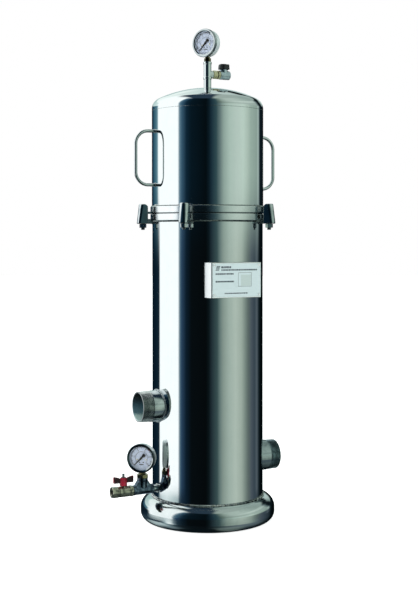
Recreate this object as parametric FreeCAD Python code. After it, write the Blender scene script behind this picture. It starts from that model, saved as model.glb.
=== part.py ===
import FreeCAD, Part
import math
import os

# Upright multi-cartridge filter housing. Millimetres, +Z up.
# Origin: vessel axis at floor level. +X outlet side, -X inlet and drain side, -Y front.

V = FreeCAD.Vector
os.makedirs("parts", exist_ok=True)

# ---------------------------------------------------------------- dimensions
# vessel
SHELL_R = 109.0          # lower shell outer radius
SHELL_T = 2.0            # wall
COVER_R = 110.0          # cover outer radius
SHELL_BOTTOM_Z = 50.0    # weld between shell and bottom head
BAND_R = 112.8           # both closure bands
BAND_RI = 102.0
LBAND_Z0, LBAND_Z1 = 587.4, 600.5
UBAND_Z0, UBAND_Z1 = 602.6, 615.2
REST_R, REST_Z0 = 108.8, 600.7    # inner step of the cover band, resting on the lower band
COVER_SEAM_Z = 803.5     # weld between cover cylinder and dished head
HEAD_TAN_Z = 808.0
HEAD_TOP_Z = 849.0
HEAD_KNUCKLE = 21.0
BOT_TAN_Z = 40.0
BOT_LOW_Z = 15.0
BOT_KNUCKLE = 14.0
# foot ring
FOOT_R = 132.0
FOOT_TOP_Z = 48.5
FOOT_KNUCKLE = 23.0
FOOT_ROLL = 18.0         # roll under at the floor
FOOT_T = 3.0
FOOT_LIP_R = 110.5
# nozzles, 2 inch male pipe thread
NOZ_R = 30.15
THREAD_R = 29.8
NOZ_RI = 26.25
INLET_Z, INLET_END, INLET_THREAD = 229.2, 149.5, 127.0
OUTLET_Z, OUTLET_END, OUTLET_THREAD = 114.6, 150.8, 129.0
# closure clamps: angle about +Z from the front (-Y), in degrees
CLAMP_PSI = (-106.5, -46.5, 41.5, 112.5, -176.5)
STUD_R, STUD_AT = 4.0, 128.5
STUD_Z0, STUD_Z1 = 569.5, 618.6
CLAW_W, CHEEK_T = 17.4, 2.0
CLAW_Z0, CLAW_Z1 = 581.4, 620.0
LUG_W, LUG_Z0, LUG_Z1 = 12.6, 581.4, 591.0
NUT_AF, NUT_Z0, NUT_Z1 = 13.0, 573.6, 581.1
SPIGOT_R, SPIGOT_FIT = 5.2, 0.05
NUT_BORE_R = 4.35
# handles
HANDLE_AT = ((-93.7, 656.6), (91.0, 652.7))   # angle and height of the lower arm
HANDLE_OUT, HANDLE_H = 150.0, 104.4
HANDLE_ROD_R, HANDLE_BEND = 3.2, 25.0
# cartridges
CART_N, CART_PCR, CART_R, CART_CORE_R = 5, 66.0, 31.5, 15.5
CART_Z0, CART_L = 169.0, 508.0
SHEET_Z0, SHEET_Z1 = 160.0, 166.0
ROD_R = 6.0
PLATE_Z0, PLATE_Z1, PLATE_R = 690.0, 694.0, 98.0
# drain branch, along -X
DRAIN_Z = 70.0
NIP_R, NIP_BORE = 6.8, 4.5
TEE_X0, TEE_X1, TEE_R = 118.0, 161.0, 9.25
LG_X = 139.8             # lower gauge stem
TEE_TOP_Z = 93.0
BUSH_TOP_Z = 100.0
LG_Z, LG_PSI = 131.8, -40.5
DV_X1 = 204.0            # drain valve mouth
DV_STEM_X = 179.5
MOUTH_R = 5.72           # 1/4 inch female thread, minor radius
# top branch
TOP_SOCKET_R = 7.3
TOP_TEE_Z0, TOP_TEE_Z1 = 867.0, 902.0
TG_Z, TG_PSI = 938.0, -61.5
VENT_Z = 877.5
VENT_X0, VENT_X1 = 26.5, 48.0
VENT_R = 8.8
VENT_STEM_X = 35.5
# gauges
GAUGE_R = 28.0
CASE_R = 26.5
# name plate
PLATE_Y = -123.0
PLATE_HALF = 53.4
NP_Z0, NP_Z1 = 441.5, 507.5
BRACKET_T = 1.5


# ---------------------------------------------------------------- helpers
def path(start, items):
    """Edges of a closed profile in the XZ plane: (r, z) for a line, (rm, zm, r, z) for an arc."""
    edges = []
    p = V(start[0], 0, start[1])
    first = p
    for it in items:
        if len(it) == 2:
            q = V(it[0], 0, it[1])
            edges.append(Part.LineSegment(p, q).toShape())
        else:
            m = V(it[0], 0, it[1])
            q = V(it[2], 0, it[3])
            edges.append(Part.Arc(p, m, q).toShape())
        p = q
    if p.distanceToPoint(first) > 1e-6:
        edges.append(Part.LineSegment(p, first).toShape())
    return Part.Face(Part.Wire(edges))


def revolve(start, items):
    return one(path(start, items).revolve(V(0, 0, 0), V(0, 0, 1), 360))


def one(shape):
    sol = shape.Solids
    if len(sol) != 1:
        raise RuntimeError("expected one solid, got %d" % len(sol))
    return sol[0]


def cyl(r, h, p=(0, 0, 0), d=(0, 0, 1)):
    return Part.makeCylinder(r, h, V(*p), V(*d))


def box(x0, x1, y0, y1, z0, z1):
    return Part.makeBox(x1 - x0, y1 - y0, z1 - z0, V(x0, y0, z0))


def prism(n, af, h, p=(0, 0, 0), d=(0, 0, 1), turn=0.0):
    """Regular prism with the given width across its flats, from p along d."""
    rc = af / 2.0 / math.cos(math.pi / n)
    pts = []
    for i in range(n + 1):
        a = math.radians(turn) + 2 * math.pi * (i % n) / n
        pts.append(V(rc * math.cos(a), rc * math.sin(a), 0))
    s = Part.Face(Part.makePolygon(pts)).extrude(V(0, 0, h))
    s.Placement = FreeCAD.Placement(V(*p), FreeCAD.Rotation(V(0, 0, 1), V(*d)))
    return s


def hexnut(af, h, p=(0, 0, 0), d=(0, 0, 1), turn=0.0, both=True):
    """Hexagon with its corners chamfered by a cone, as a turned nut has."""
    s = prism(6, af, h, p, d, turn)
    rc = af / 2.0 / math.cos(math.pi / 6)
    c = (rc - af / 2.0) * 0.62
    prof = [(rc + 1, 0), (rc + 1, h), (0, h)]
    body = path((0, 0), [(af / 2.0 * 0.985, 0), (rc, c), (rc, h - c if both else h)]
                + ([(af / 2.0 * 0.985, h)] if both else []) + [(0, h)])
    cone = body.revolve(V(0, 0, 0), V(0, 0, 1), 360)
    cone.Placement = FreeCAD.Placement(V(*p), FreeCAD.Rotation(V(0, 0, 1), V(*d)))
    return one(s.common(cone))


def fuse(*shapes):
    s = shapes[0]
    for t in shapes[1:]:
        s = s.fuse(t)
    return one(s.removeSplitter())


def place(shape, psi, p=(0, 0, 0)):
    s = shape.copy()
    s.rotate(V(0, 0, 0), V(0, 0, 1), psi)
    s.translate(V(*p))
    return s


def poly_rz(pts, x0, x1):
    """Plate in the plane through the vessel axis and the front (-Y): (radius, z) points, from x0 to x1."""
    w = Part.makePolygon([V(x0, -r, z) for r, z in pts] + [V(x0, -pts[0][0], pts[0][1])])
    return Part.Face(w).extrude(V(x1 - x0, 0, 0))


def poly_xz(pts, y0, y1):
    w = Part.makePolygon([V(x, y0, z) for x, z in pts] + [V(pts[0][0], y0, pts[0][1])])
    return Part.Face(w).extrude(V(0, y1 - y0, 0))


def crown_radius(r, rk, h):
    """Radius of the crown of a dished head of outer radius r, knuckle rk and depth h."""
    lo, hi = r, 20000.0
    for _ in range(200):
        m = (lo + hi) / 2
        if m - math.sqrt((m - rk) ** 2 - (r - rk) ** 2) - h > 0:
            lo = m
        else:
            hi = m
    return m


def dished(r, rk, t, edge_z, tan_z, apex_z):
    """Dished head as a closed shell profile turned about Z; up when apex_z is above tan_z."""
    s = 1.0 if apex_z > tan_z else -1.0
    rc = crown_radius(r, rk, abs(apex_z - tan_z))
    zc = apex_z - s * rc
    ang = math.atan2(s * (tan_z - zc), r - rk)

    def pt(cr, cz, rad, a):
        return (cr + rad * math.cos(a), cz + s * rad * math.sin(a))

    ko0 = pt(r - rk, tan_z, rk, 0)
    kom = pt(r - rk, tan_z, rk, ang / 2)
    ko1 = pt(r - rk, tan_z, rk, ang)
    com = pt(0, zc, rc, (ang + math.pi / 2) / 2)
    ki0 = pt(r - rk, tan_z, rk - t, ang)
    kim = pt(r - rk, tan_z, rk - t, ang / 2)
    ki1 = pt(r - rk, tan_z, rk - t, 0)
    cim = pt(0, zc, rc - t, (ang + math.pi / 2) / 2)
    items = [ko0, kom + ko1, com + (0.0, apex_z), (0.0, apex_z - s * t),
             cim + ki0, kim + ki1, (r - t, edge_z)]
    return revolve((r, edge_z), items), rc


nodes = {}


def add(name, *solids):
    nodes[name] = list(solids)


# ---------------------------------------------------------------- foot ring and vessel
k = FOOT_KNUCKLE
kc = (FOOT_R - k, FOOT_TOP_Z - k)
q = math.sqrt(0.5)
kl = FOOT_ROLL
lc = (FOOT_R - kl, kl)
foot = revolve((lc[0], 0), [
    (lc[0] + kl * q, lc[1] - kl * q, FOOT_R, lc[1]),
    (FOOT_R, kc[1]),
    (kc[0] + k * q, kc[1] + k * q, kc[0], FOOT_TOP_Z),
    (kc[0], FOOT_TOP_Z - FOOT_T),
    (kc[0] + (k - FOOT_T) * q, kc[1] + (k - FOOT_T) * q, FOOT_R - FOOT_T, kc[1]),
    (FOOT_R - FOOT_T, lc[1]),
    (lc[0] + (kl - FOOT_T) * q, lc[1] - (kl - FOOT_T) * q, lc[0], FOOT_T),
    (FOOT_LIP_R, FOOT_T),
    (FOOT_LIP_R, 0),
])
add("foot_ring", foot)

bottom_head, _ = dished(SHELL_R, BOT_KNUCKLE, SHELL_T, SHELL_BOTTOM_Z, BOT_TAN_Z, BOT_LOW_Z)
add("bottom_head", bottom_head)

solid_core = cyl(SHELL_R, 700.0)
shell = cyl(SHELL_R, LBAND_Z0 - SHELL_BOTTOM_Z, (0, 0, SHELL_BOTTOM_Z)).cut(
    cyl(SHELL_R - SHELL_T, 800.0))
shell = shell.cut(cyl(NOZ_RI, 200, (0, 0, INLET_Z), (-1, 0, 0)))
shell = shell.cut(cyl(NOZ_RI, 200, (0, 0, OUTLET_Z), (1, 0, 0)))
shell = shell.cut(cyl(NIP_BORE, 200, (0, 0, DRAIN_Z), (-1, 0, 0)))
add("lower_shell", one(shell))

lring = revolve((BAND_RI, LBAND_Z0), [
    (BAND_R - 1.0, LBAND_Z0), (BAND_R, LBAND_Z0 + 1.0),
    (BAND_R, LBAND_Z1 - 0.8), (BAND_R - 0.8, LBAND_Z1),
    (108.4, LBAND_Z1), (108.4, 597.9), (105.6, 597.9), (105.6, LBAND_Z1),
    (BAND_RI, LBAND_Z1)])
add("lower_flange_ring", lring)

add("closure_seal", revolve((105.7, 598.7), [
    (106.45, 597.95), (107.55, 597.95), (108.3, 598.7), (108.3, 599.8),
    (107.55, 600.55), (106.45, 600.55), (105.7, 599.8)]))

uring = revolve((BAND_RI, REST_Z0), [
    (REST_R, REST_Z0), (REST_R, UBAND_Z0), (BAND_R - 0.8, UBAND_Z0), (BAND_R, UBAND_Z0 + 0.8),
    (BAND_R, UBAND_Z1 - 1.0), (BAND_R - 1.0, UBAND_Z1), (BAND_RI, UBAND_Z1)])
add("cover_flange_ring", uring)

cover = cyl(COVER_R, COVER_SEAM_Z - UBAND_Z1, (0, 0, UBAND_Z1)).cut(
    cyl(COVER_R - SHELL_T, 400.0, (0, 0, 600)))
add("cover_shell", one(cover))

head, head_rc = dished(COVER_R, HEAD_KNUCKLE, SHELL_T, COVER_SEAM_Z, HEAD_TAN_Z, HEAD_TOP_Z)
head = one(head.cut(cyl(5.0, 40, (0, 0, HEAD_TOP_Z - 20))))
add("cover_head", head)


# ---------------------------------------------------------------- nozzles
def nozzle(z, thread_at, end, sx):
    d = (sx, 0, 0)
    plain = cyl(NOZ_R, thread_at - 90, (sx * 90, 0, z), d)
    th = cyl(THREAD_R, end - thread_at - 1.5, (sx * thread_at, 0, z), d)
    tip = Part.makeCone(THREAD_R, THREAD_R - 1.4, 1.5, V(sx * (end - 1.5), 0, z), V(*d))
    s = plain.fuse(th).fuse(tip)
    s = s.cut(cyl(NOZ_RI, 100, (sx * 80, 0, z), d))
    s = s.cut(solid_core)
    return one(s)


add("inlet_nozzle", nozzle(INLET_Z, INLET_THREAD, INLET_END, -1))
add("outlet_nozzle", nozzle(OUTLET_Z, OUTLET_THREAD, OUTLET_END, 1))

# ---------------------------------------------------------------- cover handles
hr, hb = HANDLE_ROD_R, HANDLE_BEND


def handle(z0):
    z1 = z0 + HANDLE_H
    parts = [cyl(hr, HANDLE_OUT - hb - 100, (0, -100, z0), (0, -1, 0)),
             cyl(hr, HANDLE_OUT - hb - 100, (0, -100, z1), (0, -1, 0)),
             cyl(hr, z1 - z0 - 2 * hb, (0, -HANDLE_OUT, z0 + hb))]
    for z, sgn in ((z0, 1), (z1, -1)):
        circ = Part.Face(Part.Wire(Part.makeCircle(hr, V(0, -(HANDLE_OUT - hb), z), V(0, 1, 0))))
        parts.append(circ.revolve(V(0, -(HANDLE_OUT - hb), z + sgn * hb), V(1, 0, 0), -90 * sgn))
    s = fuse(*parts)
    return one(s.cut(cyl(COVER_R, 400, (0, 0, 600))))


add("cover_handles", *[place(handle(z0), a) for a, z0 in HANDLE_AT])

# ---------------------------------------------------------------- closure clamps
w2 = CLAW_W / 2.0
outer = [(123.6, CLAW_Z1), (134.0, CLAW_Z1), (135.6, 619.3), (136.5, 617.6), (140.2, 583.6),
         (139.7, 582.2), (138.2, CLAW_Z0), (120.4, CLAW_Z0), (119.4, 582.6), (119.4, 615.6)]


def tongue(w, za, zb):
    """Upright block whose outer end is a half round leaning with the back of the claw."""
    ra = 140.2 - (za - 583.6) * 3.7 / 34.0 - w2
    rb = 140.2 - (zb - 583.6) * 3.7 / 34.0 - w2
    d = V(0, ra - rb, zb - za)
    end = Part.makeCylinder(w, d.Length + 20, V(0, -ra, za) - d * (10 / d.Length), d)
    return fuse(poly_rz([(90.0, za), (ra, za), (rb, zb), (90.0, zb)], -w, w), end)


pocket = tongue(w2 - CHEEK_T, 560.0, 616.0).common(box(-20, 20, -160, -80, 540, 598.0))
claw = poly_rz(outer, -w2, w2).common(tongue(w2, 560.0, 640.0)).cut(pocket)
tab = box(-6.2, 6.2, -121.0, -100.0, 600.9, 605.2).cut(cyl(REST_R, 100, (0, 0, 560)))
claw = claw.fuse(tab).removeSplitter().cut(uring)
claw = one(claw.cut(cyl(STUD_R, 60, (0, -STUD_AT, 560))))
stud = fuse(cyl(STUD_R, STUD_Z1 - STUD_Z0 - 0.8, (0, -STUD_AT, STUD_Z0 + 0.8)),
            Part.makeCone(STUD_R - 0.8, STUD_R, 0.8, V(0, -STUD_AT, STUD_Z0), V(0, 0, 1)))
l2 = LUG_W / 2.0
lug = box(-l2, l2, -STUD_AT, -100, LUG_Z0, LUG_Z1).fuse(cyl(l2, LUG_Z1 - LUG_Z0, (0, -STUD_AT, LUG_Z0)))
lug = lug.cut(solid_core).cut(cyl(BAND_R, 60, (0, 0, LBAND_Z0)).cut(cyl(100, 80, (0, 0, 580))))
lug = lug.cut(lring)
lug = one(lug.cut(cyl(SPIGOT_R + SPIGOT_FIT, 40, (0, -STUD_AT, 570))))
nut = hexnut(NUT_AF, NUT_Z1 - NUT_Z0, (0, -STUD_AT, NUT_Z0), (0, 0, 1), 0)
nut = nut.fuse(cyl(SPIGOT_R, 10.4, (0, -STUD_AT, NUT_Z1))).fuse(cyl(6.1, 1.5, (0, -STUD_AT, 591.4)))
nut = one(nut.cut(cyl(NUT_BORE_R, 40, (0, -STUD_AT, 565))))
add("clamp_claws", *[place(claw, a) for a in CLAMP_PSI])
add("clamp_studs", *[place(stud, a) for a in CLAMP_PSI])
add("clamp_lugs", *[place(lug, a) for a in CLAMP_PSI])
for i, a in enumerate(CLAMP_PSI):
    add("clamp_nut_%d" % (i + 1), place(nut, a))

# ---------------------------------------------------------------- inside: tube sheet, cartridges
cart_xy = [(CART_PCR * math.cos(2 * math.pi * i / CART_N), CART_PCR * math.sin(2 * math.pi * i / CART_N))
           for i in range(CART_N)]
sheet = cyl(SHELL_R - SHELL_T, SHEET_Z1 - SHEET_Z0, (0, 0, SHEET_Z0))
for x, y in cart_xy:
    sheet = sheet.cut(cyl(14.0, 40, (x, y, 150)))
sheet = sheet.cut(cyl(ROD_R, 40, (0, 0, 150)))
add("tube_sheet", one(sheet))

seat = revolve((9.5, 154.0), [(14.0, 154.0), (14.0, SHEET_Z1), (24.0, SHEET_Z1), (24.0, 167.6),
                              (21.0, CART_Z0), (12.8, CART_Z0), (12.6, 171.0), (12.6, 183.0),
                              (11.6, 185.0), (9.5, 185.0)])
add("cartridge_seats", *[place(seat, 0, (x, y, 0)) for x, y in cart_xy])

cart = revolve((CART_CORE_R, CART_Z0), [(CART_R, CART_Z0), (CART_R, CART_Z0 + CART_L),
                                       (CART_CORE_R, CART_Z0 + CART_L)])
add("filter_cartridges", *[place(cart, 0, (x, y, 0)) for x, y in cart_xy])
core = revolve((13.0, CART_Z0), [(CART_CORE_R, CART_Z0), (CART_CORE_R, CART_Z0 + CART_L),
                                (13.0, CART_Z0 + CART_L)])
ctop = CART_Z0 + CART_L
cap = revolve((0, ctop - 14), [(13.0, ctop - 14), (13.0, ctop), (24.0, ctop),
                               (24.0, ctop + 2.4), (7.8, ctop + 3.0), (7.8, 697.0), (0, 697.0)])
core = fuse(core, cap)
add("cartridge_cores", *[place(core, 0, (x, y, 0)) for x, y in cart_xy])
plate = cyl(PLATE_R, PLATE_Z1 - PLATE_Z0, (0, 0, PLATE_Z0))
for x, y in cart_xy:
    plate = plate.cut(cyl(8.3, 40, (x, y, 680)))
for i in range(CART_N):
    a = 2 * math.pi * (i + 0.5) / CART_N
    plate = plate.cut(cyl(13.0, 40, (62 * math.cos(a), 62 * math.sin(a), 680)))
plate = plate.cut(cyl(ROD_R + 0.4, 40, (0, 0, 680)))
add("hold_down_plate", one(plate))


def wave_spring(z0, z1, ri, ro):
    """Short spring of three flat turns joined by small steps."""
    h = (z1 - z0)
    t = 0.9
    s = None
    n = 3
    for j in range(n):
        z = z0 + j * (h - t) / (n - 1)
        ring = cyl(ro, t, (0, 0, z)).cut(cyl(ri, t, (0, 0, z)))
        s = ring if s is None else s.fuse(ring)
    for j in range(n - 1):
        za = z0 + j * (h - t) / (n - 1)
        zb = z0 + (j + 1) * (h - t) / (n - 1) + t
        a = math.radians(180 * j)
        rm = (ri + ro) / 2
        s = s.fuse(cyl((ro - ri) / 2 - 0.2, zb - za, (rm * math.cos(a), rm * math.sin(a), za)))
    return one(s.removeSplitter())


spring = wave_spring(ctop + 3.0, PLATE_Z0, 8.6, 13.0)
add("cartridge_springs", *[place(spring, 0, (x, y, 0)) for x, y in cart_xy])

rod = fuse(cyl(ROD_R, 560.0, (0, 0, 150.0)), hexnut(18.0, 7.0, (0, 0, SHEET_Z0 - 7.0)),
           cyl(10.0, 4.0, (0, 0, SHEET_Z1)))
add("tie_rod", rod)
add("hold_down_washer", one(cyl(14.0, 2.0, (0, 0, PLATE_Z1)).cut(cyl(ROD_R + 0.3, 10, (0, 0, 690)))))
knob = cyl(13.0, 20.0, (0, 0, 696.3))
for i in range(5):
    a = math.radians(72 * i + 18)
    knob = knob.fuse(cyl(6.0, 12.0, (15 * math.cos(a), 15 * math.sin(a), 702.0)))
knob = knob.removeSplitter().cut(cyl(ROD_R + 0.06, 15.0, (0, 0, 696.0)))
add("hold_down_knob", one(knob))

# ---------------------------------------------------------------- name plate
ya = -math.sqrt(SHELL_R ** 2 - PLATE_HALF ** 2)
br = box(-PLATE_HALF, PLATE_HALF, PLATE_Y, PLATE_Y + 40, NP_Z0, NP_Z1)
br = br.cut(box(-PLATE_HALF + BRACKET_T, PLATE_HALF - BRACKET_T, PLATE_Y + BRACKET_T, PLATE_Y + 60,
                NP_Z0 - 1, NP_Z1 + 1))
br = br.cut(solid_core)
br = br.cut(box(-PLATE_HALF - 1, PLATE_HALF + 1, ya, 0, NP_Z0 - 1, NP_Z1 + 1))
rivet_at = [(sx * 47.5, z) for sx in (-1, 1) for z in (NP_Z0 + 5, NP_Z1 - 5)]
PLATE_T = 0.8
npl = box(-51.0, 51.0, PLATE_Y - PLATE_T, PLATE_Y, NP_Z0 + 1.5, NP_Z1 - 1.5)
rivets = []
for x, z in rivet_at:
    npl = npl.cut(cyl(1.25, 30, (x, PLATE_Y - 10, z), (0, 1, 0)))
    br = br.cut(cyl(1.25, 30, (x, PLATE_Y - 10, z), (0, 1, 0)))
    rivets.append(fuse(cyl(1.25, 3.3, (x, PLATE_Y - PLATE_T, z), (0, 1, 0)),
                       cyl(2.2, 0.7, (x, PLATE_Y - PLATE_T, z), (0, -1, 0)),
                       cyl(1.9, 0.6, (x, PLATE_Y + BRACKET_T, z), (0, 1, 0))))
sols = br.Solids
add("name_plate_bracket", *sols)
add("name_plate", one(npl))
add("name_plate_rivets", *rivets)


# ---------------------------------------------------------------- gauges
# built about the dial centre, facing -Y, stem down along -Z
def gauge(hex_z0, hex_z1, hex_af, spig_r, spig_z0):
    """Parts of a bottom-connected gauge. Heights are measured from the dial centre."""
    g = {}

    def turned(pts):
        """Solid turned about the dial axis (Y) from (radius, y) points, arcs as in path()."""
        edges = []
        p0 = V(pts[0][0], pts[0][1], 0)
        p = p0
        for it in pts[1:]:
            e = V(it[-2], it[-1], 0)
            edges.append((Part.LineSegment(p, e) if len(it) == 2 else
                          Part.Arc(p, V(it[0], it[1], 0), e)).toShape())
            p = e
        edges.append(Part.LineSegment(p, p0).toShape())
        return one(Part.Face(Part.Wire(edges)).revolve(V(0, 0, 0), V(0, 1, 0), 360))

    rb, t = 3.0, 1.2
    ro = CASE_R - rb
    case = turned([(CASE_R, -10.5), (CASE_R, 7.0 - rb), (ro + rb * q, 7.0 - rb + rb * q, ro, 7.0),
                   (0, 7.0), (0, 7.0 - t), (ro, 7.0 - t),
                   (ro + (rb - t) * q, 7.0 - rb + (rb - t) * q, CASE_R - t, 7.0 - rb), (CASE_R - t, -10.5)])
    case = one(case.cut(cyl(4.6, 20, (0, 0, -36))))
    g["case"] = case
    g["bezel"] = turned([(CASE_R, -6.8), (27.4, -6.8), (GAUGE_R, -8.0), (GAUGE_R, -12.0),
                         (27.6, -13.0, 26.6, -13.4), (24.6, -13.4), (22.6, -12.4), (22.6, -12.0), (CASE_R, -12.0)])
    g["window"] = cyl(CASE_R - 0.1, 1.5, (0, -12.0, 0), (0, 1, 0))
    g["dial"] = one(cyl(CASE_R - t, 0.6, (0, -6.0, 0), (0, 1, 0)).cut(cyl(1.6, 10, (0, -8, 0), (0, 1, 0))))
    # stem, block, pointer shaft and curved tube in one soldered piece
    tube_c = Part.Face(Part.Wire(Part.makeCircle(2.2, V(0, 1.8, -17.0), V(1, 0, 0))))
    tube = tube_c.revolve(V(0, 1.8, 0), V(0, 1, 0), 250)
    stem = fuse(hexnut(hex_af, hex_z1 - hex_z0, (0, 0, hex_z0), (0, 0, 1), 30),
                cyl(4.6, -CASE_R + 5.0 - hex_z1 + 1, (0, 0, hex_z1 - 1)),
                cyl(spig_r, hex_z0 - spig_z0 + 1, (0, 0, spig_z0)),
                box(-6.0, 6.0, -2.5, 5.0, -23.5, -16.0))
    stem = one(stem.cut(cyl(1.8, -18.0 - spig_z0, (0, 0, spig_z0 - 0.5))))
    g["stem"] = fuse(stem, box(-4.0, 4.0, -1.0, 4.5, -16.5, 4.0), cyl(1.0, 12.0, (0, -9.3, 0), (0, 1, 0)), tube)
    # pointer resting at the lower left of the dial, with a round counterweight
    u = V(-math.sqrt(0.5), 0, -math.sqrt(0.5))
    n = V(u.z, 0, -u.x)

    def P(a, b):
        return V(u.x * a + n.x * b, -8.2, u.z * a + n.z * b)
    pts = [P(-7.0, 1.8), P(3, 1.6), P(19.0, 0.4), P(19.0, -0.4), P(3, -1.6), P(-7.0, -1.8)]
    ptr = Part.Face(Part.makePolygon(pts + [pts[0]])).extrude(V(0, 0.7, 0))
    cw = P(-7.0, 0)
    ptr = ptr.fuse(cyl(3.5, 0.7, (cw.x, cw.y, cw.z), (0, 1, 0)))
    ptr = ptr.fuse(cyl(2.2, 1.5, (0, -9.0, 0), (0, 1, 0)))
    ptr = ptr.removeSplitter().cut(cyl(1.05, 10, (0, -12, 0), (0, 1, 0)))
    g["pointer"] = one(ptr)
    return g


lg = gauge(BUSH_TOP_Z - LG_Z, BUSH_TOP_Z - LG_Z + 4.2, 11.5, 4.8, 86.0 - LG_Z)
for key in ("case", "bezel", "window", "dial", "stem", "pointer"):
    add("lower_gauge_" + key, place(lg[key], LG_PSI, (-LG_X, 0, LG_Z)))
tg = gauge(TOP_TEE_Z1 - TG_Z, TOP_TEE_Z1 - TG_Z + 7.0, 12.0, 4.5, 892.0 - TG_Z)
for key in ("case", "bezel", "window", "dial", "stem", "pointer"):
    add("top_gauge_" + key, place(tg[key], TG_PSI, (0, 0, TG_Z)))

# ---------------------------------------------------------------- drain branch
z = DRAIN_Z
nip = cyl(NIP_R, 26.2, (-100.0, 0, z), (-1, 0, 0)).cut(solid_core).cut(cyl(NIP_BORE, 60, (-90, 0, z), (-1, 0, 0)))
add("drain_nipple", one(nip))
tee = fuse(cyl(TEE_R, TEE_X1 - TEE_X0, (-TEE_X0, 0, z), (-1, 0, 0)),
           poly_xz([(-LG_X - 17.0, z), (-LG_X + 17.0, z), (-LG_X + 17.0, z + 6.0), (-LG_X + 9.0, z + 18.5),
                    (-LG_X - 9.0, z + 18.5), (-LG_X - 17.0, z + 6.0)], -6.6, 6.6),
           cyl(9.2, TEE_TOP_Z - z - 4, (-LG_X, 0, z)),
           cyl(10.3, 5.0, (-LG_X, 0, TEE_TOP_Z - 5.0)))
tee = tee.cut(cyl(NIP_R, 8.2, (-TEE_X0, 0, z), (-1, 0, 0)))
tee = tee.cut(cyl(NIP_R, 9.0, (-TEE_X1, 0, z), (1, 0, 0)))
tee = tee.cut(cyl(NIP_BORE, 60, (-110, 0, z), (-1, 0, 0)))
tee = tee.cut(cyl(6.2, 8.0, (-LG_X, 0, TEE_TOP_Z - 8.0)))
tee = tee.cut(cyl(3.5, 30, (-LG_X, 0, z)))
add("drain_tee", one(tee))
bush = fuse(hexnut(20.6, BUSH_TOP_Z - TEE_TOP_Z, (-LG_X, 0, TEE_TOP_Z), (0, 0, 1), 10),
            cyl(6.2, 8.5, (-LG_X, 0, TEE_TOP_Z - 8.0)))
bush = one(bush.cut(cyl(4.8, 16.0, (-LG_X, 0, 86.0))).cut(cyl(3.0, 8, (-LG_X, 0, 80.0))))
add("gauge_bushing", bush)

x = -DV_STEM_X
body = fuse(cyl(NIP_R, 9.5, (-152.0, 0, z), (-1, 0, 0)),
            hexnut(19.0, 7.0, (-TEE_X1, 0, z), (-1, 0, 0), 0),
            cyl(10.2, 22.5, (-167.5, 0, z), (-1, 0, 0)),
            cyl(5.6, 11.2, (x, 0, z)))
body = body.cut(cyl(NIP_BORE, 60, (-140, 0, z), (-1, 0, 0)))
body = body.cut(cyl(8.6, 4.1, (-190.1, 0, z), (1, 0, 0)))
body = body.cut(Part.makeSphere(7.6, V(x, 0, z)))
body = body.cut(cyl(2.55, 30, (x, 0, z)))
add("drain_valve_body", one(body))
end = fuse(cyl(8.6, 4.6, (-186.0, 0, z), (-1, 0, 0)), cyl(10.2, 2.5, (-190.0, 0, z), (-1, 0, 0)),
           hexnut(19.0, DV_X1 - 192.0, (-192.0, 0, z), (-1, 0, 0), 0))
end = end.cut(cyl(NIP_BORE, 40, (-180, 0, z), (-1, 0, 0)))
end = end.cut(cyl(MOUTH_R, 10.0, (-DV_X1, 0, z), (1, 0, 0)))
end = end.cut(Part.makeSphere(7.6, V(x, 0, z)))
add("drain_valve_end", one(end))
ball = Part.makeSphere(7.2, V(x, 0, z)).cut(cyl(NIP_BORE, 30, (x + 15, 0, z), (-1, 0, 0)))
ball = ball.cut(box(x - 3, x + 3, -0.8, 0.8, z + 5.2, z + 10))
add("drain_valve_ball", one(ball))
stem = fuse(cyl(2.5, 26.6, (x, 0, z + 7.4)), box(x - 2.0, x + 2.0, -0.8, 0.8, z + 5.2, z + 8.0))
add("drain_valve_stem", stem)
# butterfly handle: cupped hub over the stem boss and two wings along the pipe
wing = [(-20.3, 87.2), (-19.5, 86.4), (-8.0, 86.4), (8.0, 86.4), (19.5, 86.4), (20.3, 87.2),
        (20.3, 98.4), (19.3, 99.4), (9.5, 97.2), (6.0, 94.6), (-6.0, 94.6), (-9.5, 97.2), (-19.3, 99.4), (-20.3, 98.4)]
hub = Part.makeCone(7.4, 6.2, 15.4, V(x, 0, 81.6), V(0, 0, 1))
hd = hub.fuse(poly_xz([(x + a, b) for a, b in wing], -2.4, 2.4))
hd = hd.cut(cyl(6.0, 4.6, (x, 0, 81.0))).cut(cyl(2.5, 30, (x, 0, 80)))
hd = hd.cut(cyl(4.6, 3.0, (x, 0, 94.6)))
add("drain_valve_handle", one(hd.removeSplitter()))
add("drain_handle_nut", one(hexnut(7.0, 3.2, (x, 0, 94.6), (0, 0, 1), 15).cut(cyl(2.5, 30, (x, 0, 80)))))

# ---------------------------------------------------------------- top branch
sock = cyl(TOP_SOCKET_R, TOP_TEE_Z0 - 840.0, (0, 0, 840.0)).cut(
    Part.makeSphere(head_rc, V(0, 0, HEAD_TOP_Z - head_rc))).cut(cyl(4.5, 60, (0, 0, 830)))
spig = cyl(5.8, 6.0, (0, 0, TOP_TEE_Z0)).cut(cyl(4.5, 60, (0, 0, 830)))
add("top_socket", fuse(one(sock), spig))
tt = fuse(cyl(7.5, TOP_TEE_Z1 - TOP_TEE_Z0, (0, 0, TOP_TEE_Z0)), cyl(8.2, 4.0, (0, 0, TOP_TEE_Z0 + 0.6)),
          cyl(8.2, 4.0, (0, 0, TOP_TEE_Z1 - 4.6)),
          cyl(7.2, 11.0, (0, 0, VENT_Z), (1, 0, 0)))
tt = tt.cut(cyl(5.8, 6.0, (0, 0, TOP_TEE_Z0))).cut(cyl(4.5, 60, (0, 0, 860)))
tt = tt.cut(cyl(5.0, 4.5, (11.0, 0, VENT_Z), (-1, 0, 0))).cut(cyl(3.0, 20, (0, 0, VENT_Z), (1, 0, 0)))
add("top_tee", one(tt))
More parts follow.
